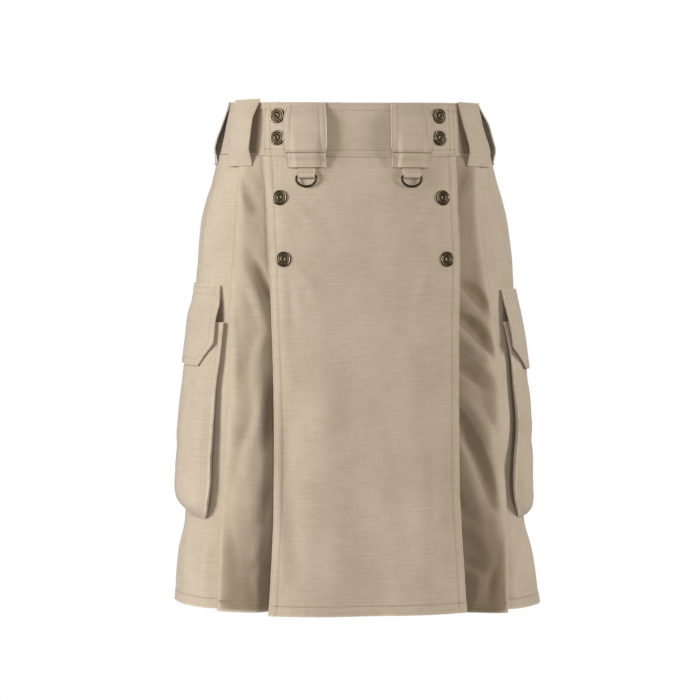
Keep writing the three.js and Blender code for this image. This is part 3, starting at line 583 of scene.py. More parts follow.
# The fold's place in front_pleat_path; how far each pleat sinks, how strong its creases are, and how
# much painted shade its hollows get
FOLD_KNOT = 9
PLEAT_DIP = {-1: 7.5, 1: 4.5}
PLEAT_RISE = {-1: 1.45, 1: 1.9}
PLEAT_SHADE = {-1: 0.95, 1: 1.5}
PLEAT_CREASES = {
    -1: (
        (-129.3, -143.9, -108.7, -201.9, 6, -3.2, 2), (-137.2, -67.5, -126.1, -100, 6, -1.6, 1),
        (-134, -160, -117, -216, 6, 1.4, 2), (-131, -30, -118, -74, 5, 1.0, -3),
        (-106.7, -289.4, -111.7, -355.3, 6, -3.4, 1), (-112, -230, -124, -300, 7, 1.4, -4),
        (-109.5, -391.6, -123.2, -467.9, 7, -2, 2), (-120, -330, -132, -420, 8, 1.6, -5),
        (-116.9, -495.9, -130.1, -496.4, 6, -1.8, 0), (-146, -410, -136, -545, 8, 1.4, 4),
        (-122, -440, -116, -548, 7, 1.6, -4), (-150, -180, -143, -300, 5, -1.1, 3),
    ),
    1: (
        (116.8, -176, 148.3, -207.4, 7, -1.8, 2), (132, -34, 120, -80, 5, 1.0, 3),
        (113.5, -212.6, 148, -250.6, 8, -3.4, 2), (114, -240, 151, -272, 7, 1.8, 2),
        (111.2, -270.9, 136, -289.9, 6, -2, 1), (113, -302, 152, -368, 8, 2.4, 3),
        (112.6, -333.8, 152.8, -428.7, 8, -4, 3), (113, -392, 140, -462, 8, 2, 3),
        (116.5, -492.2, 133.4, -503.4, 6, -2.2, 0), (156.3, -495, 144.4, -536, 6, -2, -1),
        (116, -446, 150, -500, 8, 1.6, 4), (128, -500, 124, -550, 6, 1.6, 3),
    ),
}


def pleat_dip(side, z, inward):
    """How far the cloth sinks between a pleat's fold and the apron's edge."""
    return PLEAT_DIP[side] * ease((-38 - z) / 34) * ease((z + 300) / 90) * ease((inward - 3) / 54)


def front_pleat_sheet(side):
    def relief(x, z, along, u, up, knots):
        from_fold, down = knots[FOLD_KNOT] - u, SKIRT_LENGTH - up
        off_fold, face, from_line = np.abs(from_fold), from_fold > 0, from_fold - FOLD_LINE
        loose = ease((down - 4) / 30)
        rise = PLEAT_RISE[side] * creases(PLEAT_CREASES[side], x, z)
        rise += rumple(u, down, 9 + side, 1.5)
        bumps = rise * loose * ease((off_fold - 7) / 12) - pleat_dip(side, z, off_fold)
        bumps += np.where(face, stitch_trough(from_line, 0.22), 0)
        bumps += np.where(face, pucker(from_line, down, 4, 0.2, 12 + side), 0)
        bumps += np.where(face & (off_fold > 2), turned_hem(up, u, thick=0.35, shift=14 + side), 0)
        wear_and_painted_shade = np.maximum(edge_wear(off_fold, 1.4), edge_wear(up, 1.4))
        # Painted shade on the pleat's face: in crease troughs, more towards the apron's edge, and towards
        # the hem.
        sunk = np.clip(-rise / 6, 0, 1) * loose
        sunk = sunk + 0.35 * ease(from_fold / 24) + 0.45 * ease((-z - 400) / 140)
        wear_and_painted_shade -= np.where(face, PLEAT_SHADE[side] * sunk * ease((from_fold - 2) / 5), 0)
        return bumps, wear_and_painted_shade - seam_shade(up - HEM_LINE) - np.where(face, 0.6 * seam_shade(from_line), 0)

    height = sloping_height("front_pleat", side)
    return panel(front_pleat_path, height, side, relief, lines=((FOLD_KNOT, -FOLD_LINE),))


def pleat_open(z):
    return mix(BACK["open_top"], BACK["open_hem"], ease((BACK["fell"] - z) / (BACK["fell"] - HEM_Z)))


def back_scale(z):
    return half_round(z) / half_round(BACK["reference"])


def seam_flush(z):
    return -1.2 * ease((z + 52) / 24)


def side_panel_path(z, side):
    fold, opening = edge_along("fold", z, side), read(FRONT, "open", z)
    rear = half_round(z) - BACK["folds"][-1] * back_scale(z)
    end = rear + BACK["underlap"] * back_scale(z) - 1
    in_front = FACE_OUT - SEAM_GAP - opening
    behind = UNDER_FACE + seam_flush(z) - pleat_open(z)
    start, stop = fold + SIDE_HIDE, rear - SIDE_HIDE
    return [
        (fold - FRONT_UNDERLAP + 1, in_front), (fold - 8, mix(in_front, UNDER_FACE, 0.12)),
        (fold + 6, mix(in_front, UNDER_FACE, 0.55)),
        *((mix(start, stop, t), UNDER_FACE) for t in np.linspace(0, 1, 11)),
        (rear - 8, mix(UNDER_FACE, behind, 0.45)), (rear + 2, mix(UNDER_FACE, behind, 0.9)),
        (end, behind),
    ]


SIDE_CREASES = {
    -1: (
        (-196, -50, -214, -120, 9, 1.3, 5), (-182, -100, -206, -168, 8, -1.6, -5),
        (-246, -46, -236, -150, 12, -1.2, 6), (-290, -60, -306, -170, 11, 1.2, 6),
        (-200, -452, -212, -545, 8, 1.9, 4), (-236, -462, -228, -548, 9, -2.0, 4),
        (-280, -456, -292, -546, 10, 1.7, -5), (-330, -300, -338, -470, 8, 1.1, 5),
        (-176, -300, -184, -420, 5, -1.2, 3), (-188, -130, -176, -176, 7, 1.4, 3),
        (-318, -470, -326, -548, 7, -1.5, 3),
    ),
    1: (
        (194, -56, 220, -116, 9, -1.4, 5), (180, -112, 208, -172, 8, 1.6, -5),
        (244, -50, 256, -150, 12, 1.2, 6), (296, -60, 286, -168, 11, -1.2, 6),
        (204, -452, 196, -545, 8, -1.9, 4), (234, -458, 246, -548, 9, 2.0, -4),
        (284, -456, 276, -546, 10, -1.7, 5), (334, -310, 326, -460, 8, 1.1, 5),
        (178, -320, 186, -430, 5, -1.2, -3), (190, -80, 178, -128, 7, -1.2, 3),
        (316, -466, 326, -548, 7, 1.5, -3),
    ),
}


def side_panel_sheet(side):
    def relief(x, z, along, u, up, knots):
        down = SKIRT_LENGTH - up
        loose = ease((down - 4) / 30) * ease(np.minimum(u - 12, u.max() - 12 - u) / 24)
        under_pocket = ease((z + 165) / 14) + ease((-450 - z) / 14)
        rise = creases(SIDE_CREASES[side], along, z) + rumple(u, down, 20 + side, 1.0)
        bumps = np.minimum(rise, 2.2) * loose * np.clip(under_pocket, 0.12, 1)
        beyond = edge_along("fold", z, side) - np.abs(along)
        bumps -= 1.2 * pleat_dip(side, z, beyond) + 3 * ease((beyond - 0.5) / 6) * ease((-30 - z) / 40)
        bumps += turned_hem(up, u, shift=22 + side) * ease((u - 2) / 6)
        # Painted shadow on the side panel just beside the pleat's fold edge.
        painted_fold_shadow = 0.9 * np.exp(-(((beyond + 1) / 1.8) ** 2))
        # Painted shade on the panel under the pocket, from just behind its front edge to near its rear
        # edge.
        behind_edge = np.abs(along) - read(POCKET_FORM, f"front_{SIDES[side]}", z)
        painted_pocket_shade = ease((behind_edge - 4) / 4) * ease((POCKET["rear"] - 12 - np.abs(along)) / 8)
        painted_pocket_shade *= 1.4 * ease((-190 - z) / 8) * ease((z + 440) / 8)
        return bumps, edge_wear(up, 1.4) - seam_shade(up - HEM_LINE) - painted_fold_shadow - painted_pocket_shade

    return panel(side_panel_path, sloping_height("side_panel", side), side, relief, spacing=3.4)


def back_half(z):
    """Half of the pleated back from the centre out, with the knots of its folds."""
    scale, opening = back_scale(z), pleat_open(z)
    under, top = BACK["underlap"] * scale, UNDER_FACE + seam_flush(z)
    path, fold_knots, face_start = [], [], 0 * z
    for k, distance in enumerate(BACK["folds"]):
        fold, last = distance * scale, k == len(BACK["folds"]) - 1
        for t in np.linspace(0, 1, 3 if k == 0 else 4):
            sunk = (0 if k == 0 else 1) * opening * (1 - t)
            path.append((mix(face_start, fold - FOLD_REACH, t), top - sunk))
        fold_knots.append(len(path) + 1)
        path += fold_turn(fold, top)[1:]
        rest = CLOTH + SEAM_GAP if last else PLY_PITCH
        path.append((fold - under + 1, top - opening + rest))
        if not last:
            path.append((fold - under, top - opening + PLY_PITCH / 2))
        face_start = fold - under + 1
    return path, fold_knots


# A distance at which no line of stitches shows
OUT_OF_REACH = 99
BACK_CREASES = (
    (-20, -70, -14, -190, 10, 1.0, 5), (14, -120, 22, -300, 11, -1.2, -6),
    (-12, -280, -18, -500, 13, 1.6, 8),
    (16, -400, 10, -545, 12, 1.4, -5), (46, -150, 52, -330, 7, 1.1, 4),
    (-50, -210, -46, -420, 7, -1.2, -4), (52, -390, 46, -545, 7, -1.4, 3),
    (-46, -420, -54, -546, 7, 1.3, -3), (84, -170, 80, -360, 7, 1.0, 4),
    (-82, -120, -88, -300, 7, 1.1, 4), (86, -380, 90, -545, 7, -1.3, -3),
    (-90, -380, -84, -545, 7, 1.2, 3), (118, -190, 122, -400, 7, -1.0, 3),
    (-120, -240, -116, -470, 7, 1.1, -3), (30, -60, 8, -92, 6, 0.9, 3), (-32, -56, -6, -88, 6, -0.9, 3),
)


def back_panel_sheet():
    shares = skirt_rows(SKIRT_LENGTH)
    z_read = skirt_height(shares, READ_ALONG)
    half, fold_knots = back_half(z_read)
    middle = len(half) - 1
    around = half_round(z_read)
    controls = [(around - distance, out) for distance, out in reversed(half[1:])]
    controls += [(around - JUST_PAST, half[0][1])]
    controls += [(around + distance, out) for distance, out in half[1:]]
    folds = [(middle - k, 1) for k in fold_knots] + [(middle + k, -1) for k in fold_knots]
    lines = [(k, inward * FOLD_LINE) for k, inward in folds]
    along, out, u, knots = fine_path(controls, 3.6, lines)
    z = skirt_height(shares[:, None], np.where(along > around[:, None], 2 * around[:, None] - along, along))
    from_back = along - around[:, None]
    down, up = shares[:, None] * SKIRT_LENGTH + 0 * u, (1 - shares[:, None]) * SKIRT_LENGTH + 0 * u
    signed = np.array([(u - knots[k]) * inward for k, inward in folds])
    nearest = np.abs(signed).min(axis=0)
    from_line = np.where(signed > 0, signed, OUT_OF_REACH).min(axis=0) - FOLD_LINE
    felled = mix(0.25, 1, ease((down - 110) / 60))
    rise = creases(BACK_CREASES, from_back, z) + rumple(u + 0 * down, down, 31, 0.9)
    shut = ease((nearest - 1) / 9)
    bumps = np.clip(rise, -2, 2) * ease((down - 4) / 26) * felled * shut
    bumps += stitch_trough(from_line, 0.22) + pucker(from_line, down, 4, 0.2, 33)
    bumps += turned_hem(up, u + 0 * up, thick=0.3, shift=35) * ease((nearest - 1) / 3)
    bumps *= ease(np.minimum(u, u[-1] - u) / 12)
    wear_and_painted_shade = np.maximum(edge_wear(nearest), edge_wear(up, 1.4))
    wear_and_painted_shade = wear_and_painted_shade - seam_shade(up - HEM_LINE) - 0.6 * seam_shade(from_line)
    points, _ = on_form(along, z, out + bumps)
    seams = u[0] + np.array([knots[k] + gap for k, gap in lines])
    return Sheet(points, u, down[:, 0], wear_and_painted_shade), seams


# Waistband

BAND_SPACING = 3.0


def band_sheet(first, last, out, shift, relief):
    u = stations(np.array([0, last - first]), BAND_SPACING, relief["upright"])
    along = first + u
    length = float(np.mean(band_top(along) - band_seam(along)))
    v = stations(np.array([0, length]), 2.6, relief["level"])
    top, seam = band_top(along), band_seam(along)
    z = mix(top, seam, (v / length)[:, None])
    bumps = 0.26 * unevenness(u / 17, v[:, None] / 14, shift)
    bumps = bumps + 0.35 * unevenness(u / 44, v[:, None] / 60, shift + 1)
    for line in relief["level"]:
        bumps += stitch_trough(v[:, None] - line, 0.3) + pucker(v[:, None] - line, u, 5, 0.26, shift + 2)
    for line in relief["upright"]:
        bumps += stitch_trough(u - line, 0.25) + pucker(u - line, v[:, None], 4, 0.2, shift + 4)
    rim = np.minimum(v, length - v)[:, None]
    wear_and_painted_shade = edge_wear(rim) + 0 * u
    place = np.where(along > half_round(z), along - 2 * half_round(z), along)
    # Painted shade on the band under each belt loop, fading out just past the loop's sides.
    for loop in relief.get("painted_shade_loops", ()):
        centre = loop["side"] * mix(loop["top"], loop["foot"], (v / length)[:, None])
        wear_and_painted_shade = wear_and_painted_shade - 1 + ease((np.abs(place - centre) - loop["width"] / 2 - 1) / 6)
    for line in relief["level"]:
        wear_and_painted_shade = wear_and_painted_shade - 0.7 * seam_shade(v[:, None] - line)
    for line in relief["upright"]:
        wear_and_painted_shade = wear_and_painted_shade - 0.7 * seam_shade(u - line)
    points, _ = on_form(along, z, out + bumps * ease(rim / 2.5))
    return Sheet(points, u, v, wear_and_painted_shade), length


# Straps: belt loops laid over the band

STRAP_SPACING = 2.2


def strap_sheet(side, width, top, foot, middle, out, lines, shift, flare, levels=()):
    length = top - foot
    ends = (STRAP_TOP_LINE, length - STRAP_FOOT_LINE)
    v = stations(np.array([0, length]), STRAP_SPACING, (*ends, *levels))
    u = stations(np.array([0, width]), STRAP_SPACING, lines)
    share, across = (v / length)[:, None], (u / width - 0.5)[None]
    bumps = 0.12 * unevenness(u / 9, v[:, None] / 12, shift)
    for line in lines:
        bumps += stitch_trough(u - line, 0.24) + pucker(u - line, v[:, None], 3.5, 0.16, shift + 1)
    for line in ends:
        bumps += stitch_trough(v[:, None] - line, 0.22)
    along = middle(share) + across * (width + flare(share))
    z = mix(top, foot, share) + 0 * across
    points, _ = on_form(side * along, z, out(share, across) + bumps)
    wear_and_painted_shade = edge_wear(np.minimum(u, width - u)[None] + 0 * share)
    for line in lines:
        wear_and_painted_shade = wear_and_painted_shade - 0.5 * seam_shade(u - line)
    # Painted shade in a dark line at each level where the strap is folded.
    for line in levels:
        wear_and_painted_shade = wear_and_painted_shade - 1.6 * seam_shade((v[:, None] - line) * 1.3)
    if side < 0:
        points, wear_and_painted_shade = points[:, ::-1], wear_and_painted_shade[:, ::-1]
    return Sheet(points, u, v, wear_and_painted_shade), length


def bow_at(share, full):
    """How far a loop stands off the band: fully from a share of the way down, back at its foot."""
    return ease(share / full) * ease((1 - share) / 0.28)


def loop_top(along):
    return float(band_top(along)) - 0.5


def belt_loop_sheet(loop, shift):
    def out(share, across):
        rest = mix(LOOP_REST, max(loop["foot_out"], LOOP_REST), ease(share * 1.3 - 0.3))
        return rest + mix(loop["front"], loop["rear"], across + 0.5) * bow_at(share, loop["full"])

    def middle(share):
        return mix(loop["top"], loop["foot"], share)

    def flare(share):
        return loop["flare"] * (1 - share)

    top = float(band_top(loop["top"])) + loop["rise"]
    side, width = loop["side"], loop["width"]
    lines = (STRAP_LINE, width - STRAP_LINE)
    return strap_sheet(side, width, top, loop["foot_z"], middle, out, lines, shift, flare)


def front_loop_sheet(side):
    top, foot, width = loop_top(FRONT_LOOP[side]), FRONT_LOOP["foot"], FRONT_LOOP["width"]
    on_band = BAND_FLAP_OUT + BAND_CLOTH / 2 + SEAM_GAP + STRAP_CLOTH / 2
    on_apron = APRON_OUT + CLOTH / 2 + SEAM_GAP + STRAP_CLOTH / 2
    over_tab = 2 * CLOTH + 2 * SEAM_GAP + 0.4

    def out(share, across):
        z = mix(top, foot, share)
        settled = ease((FRONT_LOOP["fold"] - 3 - z) / 7)
        raised = over_tab * ease((17 - np.abs(across * width)) / 6) * ease(share * 3.6 - 1.5)
        below = FRONT_LOOP["fold"] - z
        tuck = 1.7 * ease(below / 0.9 + 0.2) - 2 * np.exp(-((below / 1.2) ** 2))
        bow = FRONT_LOOP["bow"] * bow_at(share * 1.06, 0.3)
        return mix(on_band, on_apron, settled) + raised + bow + tuck

    def middle(share):
        return FRONT_LOOP[side] + 0 * share

    def belly(share):
        return FRONT_LOOP["belly"] * ease(share / 0.3) * ease((0.8 - share) / 0.14)

    lines = (STRAP_LINE, STRAP_INNER_LINE, width - STRAP_INNER_LINE, width - STRAP_LINE)
    levels = (top - FRONT_LOOP["fold"],)
    return strap_sheet(side, width, top, foot, middle, out, lines, 60 + side, belly, levels)


def back_loop_sheet():
    top, foot, width = loop_top(half_round(0)), BACK_LOOP["foot"], BACK_LOOP["width"]
    length, lines = top - foot, (STRAP_LINE, width - STRAP_LINE)
    v = stations(np.array([0, length]), STRAP_SPACING, (STRAP_TOP_LINE, length - STRAP_FOOT_LINE))
    u = stations(np.array([0, width]), STRAP_SPACING, lines)
    share, across = (v / length)[:, None], (u / width - 0.5)[None]
    z = mix(top, foot, share) + 0 * across
    out = LOOP_REST + BACK_LOOP["bow"] * bow_at(share, 0.35)
    out = out + 0.12 * unevenness(u / 9, v[:, None] / 12, 66)
    for line in lines:
        out = out + stitch_trough(u - line, 0.24)
    points, _ = on_form(half_round(z) + across * width + JUST_PAST, z, out)
    return Sheet(points, u, v, edge_wear(np.minimum(u, width - u)[None] + 0 * share)), length


# Cargo pockets and their flaps

def tilt_lift(side, along, start, z):
    """The left pocket's rows rise a little towards the rear, the lower ones more."""
    if side > 0:
        return 0 * along
    tilt = mix(TILT["top"], TILT["bottom"], ease((TILT["start"] - z) / TILT["over"]))
    return tilt * np.clip(along - start, 0, TILT["reach"])


def rear_growth(z):
    """How far the pockets' rear edges move with the form's growth down the skirt."""
    return (half_round(z) - half_round(POCKET_REFERENCE_Z)) * 0.5


POCKET_CREASES = {
    -1: (
        (206, -268, 250, -330, 9, -1.3, 5), (216, -352, 300, -372, 10, -1.5, -6),
        (200, -402, 262, -432, 8, 1.5, 4), (300, -290, 262, -368, 11, 1.2, -6),
        (330, -330, 316, -426, 9, -1.4, 5), (236, -300, 240, -420, 12, 1.3, 7),
    ),
    1: (
        (212, -280, 256, -340, 9, 1.3, 5), (222, -360, 296, -380, 10, -1.5, 6),
        (206, -404, 256, -430, 8, 1.4, -4), (304, -284, 270, -370, 11, -1.2, 6),
        (328, -336, 320, -426, 9, 1.3, -5), (246, -300, 238, -420, 12, -1.3, 7),
    ),
}


def pocket_sheet(side):
    stand = SIDES[side]
    length = POCKET["top"] - POCKET["bottom"]
    v = stations(np.array([0, length]), 3.0, (2, 9, length - POCKET_FOOT_LINE))
    shares = v / length
    z = mix(POCKET["top"], POCKET["bottom"], shares)
    start, end = read(POCKET_FORM, f"front_{stand}", z), POCKET["rear"] + rear_growth(z)
    out = read(POCKET_FORM, stand, z)
    foot = SEAM_GAP + CLOTH / 2
    lift = np.maximum(out - foot, 0)

    def edge(at, inward):
        level = foot + lift * (POCKET["front_lift"] if inward > 0 else 1)
        return [
            (at + inward * POCKET["bellows"], foot + 0 * z),
            (at + inward * 3.2, level - np.maximum(PLY_PITCH, lift * 0.38)),
            (at + inward * 0.5, level - np.maximum(PLY_PITCH * 0.8, lift * 0.24)),
            (at, level - np.maximum(PLY_PITCH * 0.5, lift * 0.12)),
            (at + inward * 0.5, level - np.maximum(PLY_PITCH * 0.2, lift * 0.03)),
            (at + inward * 3.2, level),
        ]

    face = [(mix(start + 16, end - 16, t), out + 0.06 * lift) for t in np.linspace(0, 1, 7)]
    controls = edge(start, 1) + face + edge(end, -1)[::-1]
    front_edge, rear_edge = 4, len(controls) - 5
    lines = ((front_edge, POCKET_LINE), (rear_edge, -POCKET_LINE))
    along, outs, u, knots = fine_path(controls, 3.0, lines)
    drop = 0 if side < 0 else DROP["pocket"]
    level = (z + drop * shares)[:, None]
    heights = level + tilt_lift(side, along, start[:, None], z[:, None])
    inside = np.minimum(u - knots[front_edge], knots[rear_edge] - u) + 0 * level
    down = v[:, None] + 0 * u
    rise = creases(POCKET_CREASES[side], along, heights) + rumple(u, down, 40 + side, 1.3)
    bumps = rise * ease(inside / 18) * ease((length - down) / 26) * ease((down + 6) / 20)
    from_line = inside - POCKET_LINE
    sewn = stitch_trough(from_line, 0.25) + pucker(from_line, down, 4, 0.28, 42)
    bumps += np.where(inside > 0, sewn, 0)
    bumps += np.where(inside > 0, doubled(inside, 4.4, 0.35), 0)
    # Painted shade along the stitch line and on the gusset, where inside is below zero.
    wear_and_painted_shade = edge_wear(np.abs(inside), 1.6) - 0.6 * seam_shade(from_line) - ease((-inside - 0.5) / 3)
    points, _ = on_form(side * along, heights, outs + bumps)
    marks = {name: knots[k] + gap for name, (k, gap) in zip(("front", "rear"), lines)}
    marks["length"] = length
    if side < 0:
        points, u, wear_and_painted_shade = points[:, ::-1], u[-1] - u[::-1], wear_and_painted_shade[:, ::-1]
        marks["front"], marks["rear"] = u[-1] - marks["front"], u[-1] - marks["rear"]
    return Sheet(points, u, v, wear_and_painted_shade), marks


def flap_sheet(side):
    stand = SIDES[side]
    outer, inner = FLAP_LINES
    upper, lower = FLAP_TOP_LINES
    drop = 0 if side < 0 else DROP["flap"]
    length, clip_height = FLAP["top"] - FLAP["bottom"], FLAP["clip_height"]
    v = stations(np.array([0, length]), 2.6, (upper, lower, length - 2, length - inner))
    shares = v / length
    z = mix(FLAP["top"], FLAP["bottom"], shares) + drop
    cut = FLAP[f"clip_{stand}"] * np.maximum((FLAP["bottom"] + clip_height + drop - z) / clip_height, 0)
    start, end = read(FLAP_FORM, f"front_{stand}", z) + cut, FLAP["rear"] + rear_growth(z) - cut
    out = read(FLAP_FORM, stand, z)
    width = float((end - start).max())
    u = stations(np.array([0, width]), 3.0, (outer, inner, width - inner, width - outer))
    along = start[:, None] + (end - start)[:, None] * u / width
    heights = z[:, None] + tilt_lift(side, along, (start - cut)[:, None], z[:, None])
    from_front, from_rear = along - start[:, None], end[:, None] - along
    down, up = v[:, None] + 0 * u, (length - v)[:, None] + 0 * u
    rim = np.minimum(np.minimum(from_front, from_rear), up)
    bumps = rumple(u + 0 * down, down, 48 + side, 0.55) * ease(down / 18)
    bumps += doubled(rim, 8.2, 0.35)
    bumps += stitch_trough(rim - inner, 0.25) + stitch_trough(rim - outer, 0.2)
    bumps += (stitch_trough(down - upper, 0.35) + stitch_trough(down - lower, 0.3)
              + pucker(down - (upper + lower) / 2, u, 7, 0.3, 50))
    bumps += pucker(rim - inner, u + down, 4, 0.3, 51)
    wear_and_painted_shade = np.maximum(edge_wear(rim, 1.6), edge_wear(down, 1.2))
    wear_and_painted_shade = wear_and_painted_shade - 0.6 * seam_shade(rim - inner)
    wear_and_painted_shade = wear_and_painted_shade - 0.6 * seam_shade(down - upper) - 0.5 * seam_shade(down - lower)
    points, _ = on_form(side * along, heights, out[:, None] + bumps)
    if side < 0:
        points, wear_and_painted_shade = points[:, ::-1], wear_and_painted_shade[:, ::-1]
    return Sheet(points, u, v, wear_and_painted_shade), {"width": width, "length": length}


# Ring tabs: a strap folded round the ring's bar

def local_frame(along, z, out, follow=False):
    """A matrix that sets a piece on the form: its own -Y points outwards."""
    point, normal = on_form(along, z, out)
    above, below = on_form(along, z + 4)[0], on_form(along, z - 4)[0]
    rise = float(np.dot((below - above)[:2], normal[:2]))
    turn = Matrix.Rotation(math.atan2(normal[0], -normal[1]), 4, "Z")
    lean = Matrix.Rotation(-math.atan2(rise, 8) if follow else 0, 4, "X")
    return Matrix.Translation(Vector(point * MM)) @ turn @ lean


def apron_face(z):
    bar, normal = on_form(FRONT_LOOP[-1], RING["bar"])
    there, _ = on_form(FRONT_LOOP[-1], z)
    return float(np.dot((there - bar)[:2], normal[:2])) + APRON_OUT + CLOTH / 2


def tab_sheet(side):
    reach = RING["wire"] + TAB["clearance"] + CLOTH / 2
    heights = (TAB["top"], TAB["middle"], RING["bar"] + TAB["neck"])
    under = [(apron_face(z) + SEAM_GAP + CLOTH / 2, z) for z in heights]
    over = [(out + (CLOTH + SEAM_GAP), z) for out, z in under]
    bend = [(RING["out"] + reach * math.cos(a), RING["bar"] + reach * math.sin(a))
            for a in np.linspace(0.12, -math.pi - 0.12, 13)]
    path = np.array(over + bend + under[::-1])
    knots = np.concatenate([[0], np.cumsum(np.hypot(*np.diff(path, axis=0).T))])
    v = stations(knots, 1.3)
    out, z = smooth_along(path, knots, v).T
    u = stations(np.array([0, TAB["width"]]), 1.9, (STRAP_LINE, TAB["width"] - STRAP_LINE))
    point, normal = on_form(side * FRONT_LOOP[side], RING["bar"])
    tangent = np.array([-normal[1], normal[0], 0])
    dents = stitch_trough(u - STRAP_LINE, 0.18) + stitch_trough(u - TAB["width"] + STRAP_LINE, 0.18)
    turn = np.gradient(np.stack([out, z], 1), axis=0)
    turn /= np.linalg.norm(turn, axis=1, keepdims=True)
    outwards = -turn[:, 1:] * normal + turn[:, :1] * np.array([0, 0, 1.0])
    centre = point + normal * out[:, None] + (z - RING["bar"])[:, None] * np.array([0, 0, 1.0])
    points = centre[:, None] + tangent * (u - TAB["width"] / 2)[None, :, None]
    points += outwards[:, None] * dents[None, :, None]
    wear_and_painted_shade = edge_wear(np.minimum(u, TAB["width"] - u)[None], 1.2) + 0 * v[:, None]
    return Sheet(points, u, v, wear_and_painted_shade)


# Sewing: every stitch is a short thread lying on the cloth

STITCH_PITCH, STITCH_LENGTH, THREAD = 3.1, 2.3, 0.5


def stitch_places(sheet, line, face):
    """Middle, direction and outward normal of each stitch along a line of (u, v) places."""
    line = np.array(line, float)
    lengths = np.hypot(*np.diff(line, axis=0).T)
    knots = np.concatenate([[0], np.cumsum(lengths)])
    along = np.arange(STITCH_PITCH, knots[-1] - 0.4 * STITCH_PITCH, STITCH_PITCH / 2)
    u, v = np.interp(along, knots, line[:, 0]), np.interp(along, knots, line[:, 1])
    points, normals = sheet.at(u, v)
    points = points + normals * face
    middle, direction = points[1:-1:2], points[2::2] - points[:-2:2]
    count = min(len(middle), len(direction))
    direction = direction[:count]
    direction = direction / np.maximum(np.linalg.norm(direction, axis=1, keepdims=True), 1e-9)
    normal = normals[1:-1:2][:count]
    return middle[:count], direction, normal


THREAD_RINGS = ((-0.5, 0.62, -0.3), (-0.28, 1.0, 0.05), (0.28, 1.0, 0.05), (0.5, 0.62, -0.3))


def sew_stitches(name, lines):
    """One mesh of all the stitches of a piece; lines are (sheet, places, face)."""
    verts, faces, base = [], [], 0
    for sheet, line, face in lines:
        middle, direction, normal = stitch_places(sheet, line, face)
        if not len(middle):
            continue
        sideways = np.cross(direction, normal)
        rings = []
        for share, girth, lift in THREAD_RINGS:
            for angle in (45, 135, 225, 315):
                a = math.radians(angle)
                spread = (sideways * math.cos(a) + normal * 0.7 * math.sin(a)) * girth * THREAD / 2
                rings.append(middle + direction * share * STITCH_LENGTH + normal * (lift * THREAD) + spread)
        block = np.stack(rings, 1)
        count = len(middle)
        start = base + 16 * np.arange(count)[:, None]
        template = [[4 * r + k, 4 * r + (k + 1) % 4, 4 * r + 4 + (k + 1) % 4, 4 * r + 4 + k]
                    for r in range(3) for k in range(4)] + [[3, 2, 1, 0], [12, 13, 14, 15]]
        for quad in template:
            faces.append(start + np.array(quad)[None])
        verts.append(block.reshape(-1, 3))
        base += 16 * count
    mesh = bpy.data.meshes.new(name)
    mesh.from_pydata((np.concatenate(verts) * MM).tolist(), [], np.concatenate(faces).tolist())
    piece = link(name, mesh)
    point_outwards(piece)
    piece.data.materials.append(THREAD_FINISH)
    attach(piece, "kilt")


def straight(u0, v0, u1, v1):
    count = max(2, int(max(abs(u1 - u0), abs(v1 - v0)) / 4))
    return list(zip(np.linspace(u0, u1, count), np.linspace(v0, v1, count)))


# Materials

class Value:
    """A shader socket that can be used in Python expressions."""

    def __init__(self, finish, socket):
        self.finish, self.socket = finish, socket

    def join(self, operation, *values):
        return self.finish.node("ShaderNodeMath", {"operation": operation}, *values)

    def __add__(self, other):
        return self.join("ADD", self, other)

    def __sub__(self, other):
        return self.join("SUBTRACT", self, other)

    def __rsub__(self, other):
        return self.join("SUBTRACT", other, self)

    def __mul__(self, other):
        return self.join("MULTIPLY", self, other)

    def __truediv__(self, other):
        return self.join("DIVIDE", self, other)


class Finish:
    """A material and the one method that adds its nodes."""

    def __init__(self, name, **constants):
        self.material = bpy.data.materials.new(name)
        self.material.use_nodes = True
        self.tree = self.material.node_tree
        self.shader = self.tree.nodes["Principled BSDF"]
        for socket, value in constants.items():
            self.shader.inputs[socket.replace("_", " ")].default_value = value

    def node(self, kind, settings=None, *values, output=0, **named):
        node = self.tree.nodes.new(kind)
        for key, value in (settings or {}).items():
            setattr(node, key, value)
        for i, value in enumerate(values):
            self.put(node.inputs[i], value)
        for key, value in named.items():
            self.put(node.inputs[key.replace("_", " ")], value)
        return Value(self, node.outputs[output])

    def put(self, socket, value):
        if isinstance(value, Value):
            self.tree.links.new(value.socket, socket)
        else:
            socket.default_value = value

    def between(self, value, low, high):
        """0 below low, 1 above high, smooth between."""
        node = self.tree.nodes.new("ShaderNodeMapRange")
        node.interpolation_type = "SMOOTHSTEP"
        self.put(node.inputs["Value"], value)
        node.inputs["From Min"].default_value, node.inputs["From Max"].default_value = low, high
        return Value(self, node.outputs["Result"])

    def blend(self, a, b, amount):
        node = self.tree.nodes.new("ShaderNodeMix")
        node.data_type = "RGBA"
        self.put(node.inputs["Factor"], amount)
        self.put(node.inputs["A"], (*a, 1) if isinstance(a, tuple) else a)
        self.put(node.inputs["B"], (*b, 1) if isinstance(b, tuple) else b)
        return Value(self, node.outputs["Result"])

    def noise(self, vector, scale, detail=2.0, roughness=0.5):
        return self.node("ShaderNodeTexNoise", None,
                         Vector=vector, Scale=scale, Detail=detail, Roughness=roughness)

    def shape(self, name, value):
        self.put(self.shader.inputs[name], value)

    def bump(self, strength, distance, height):
        relief = self.node("ShaderNodeBump", None, Strength=strength, Distance=distance, Height=height)
        self.shape("Normal", relief)


# Metres between the thick threads of the ripstop grid and between the threads of the weave
RIPSTOP = 0.0054
WARP = 0.00052
GRID_TONE = 0.14
DEEP_SHADE = (0.19, 0.13, 0.07)


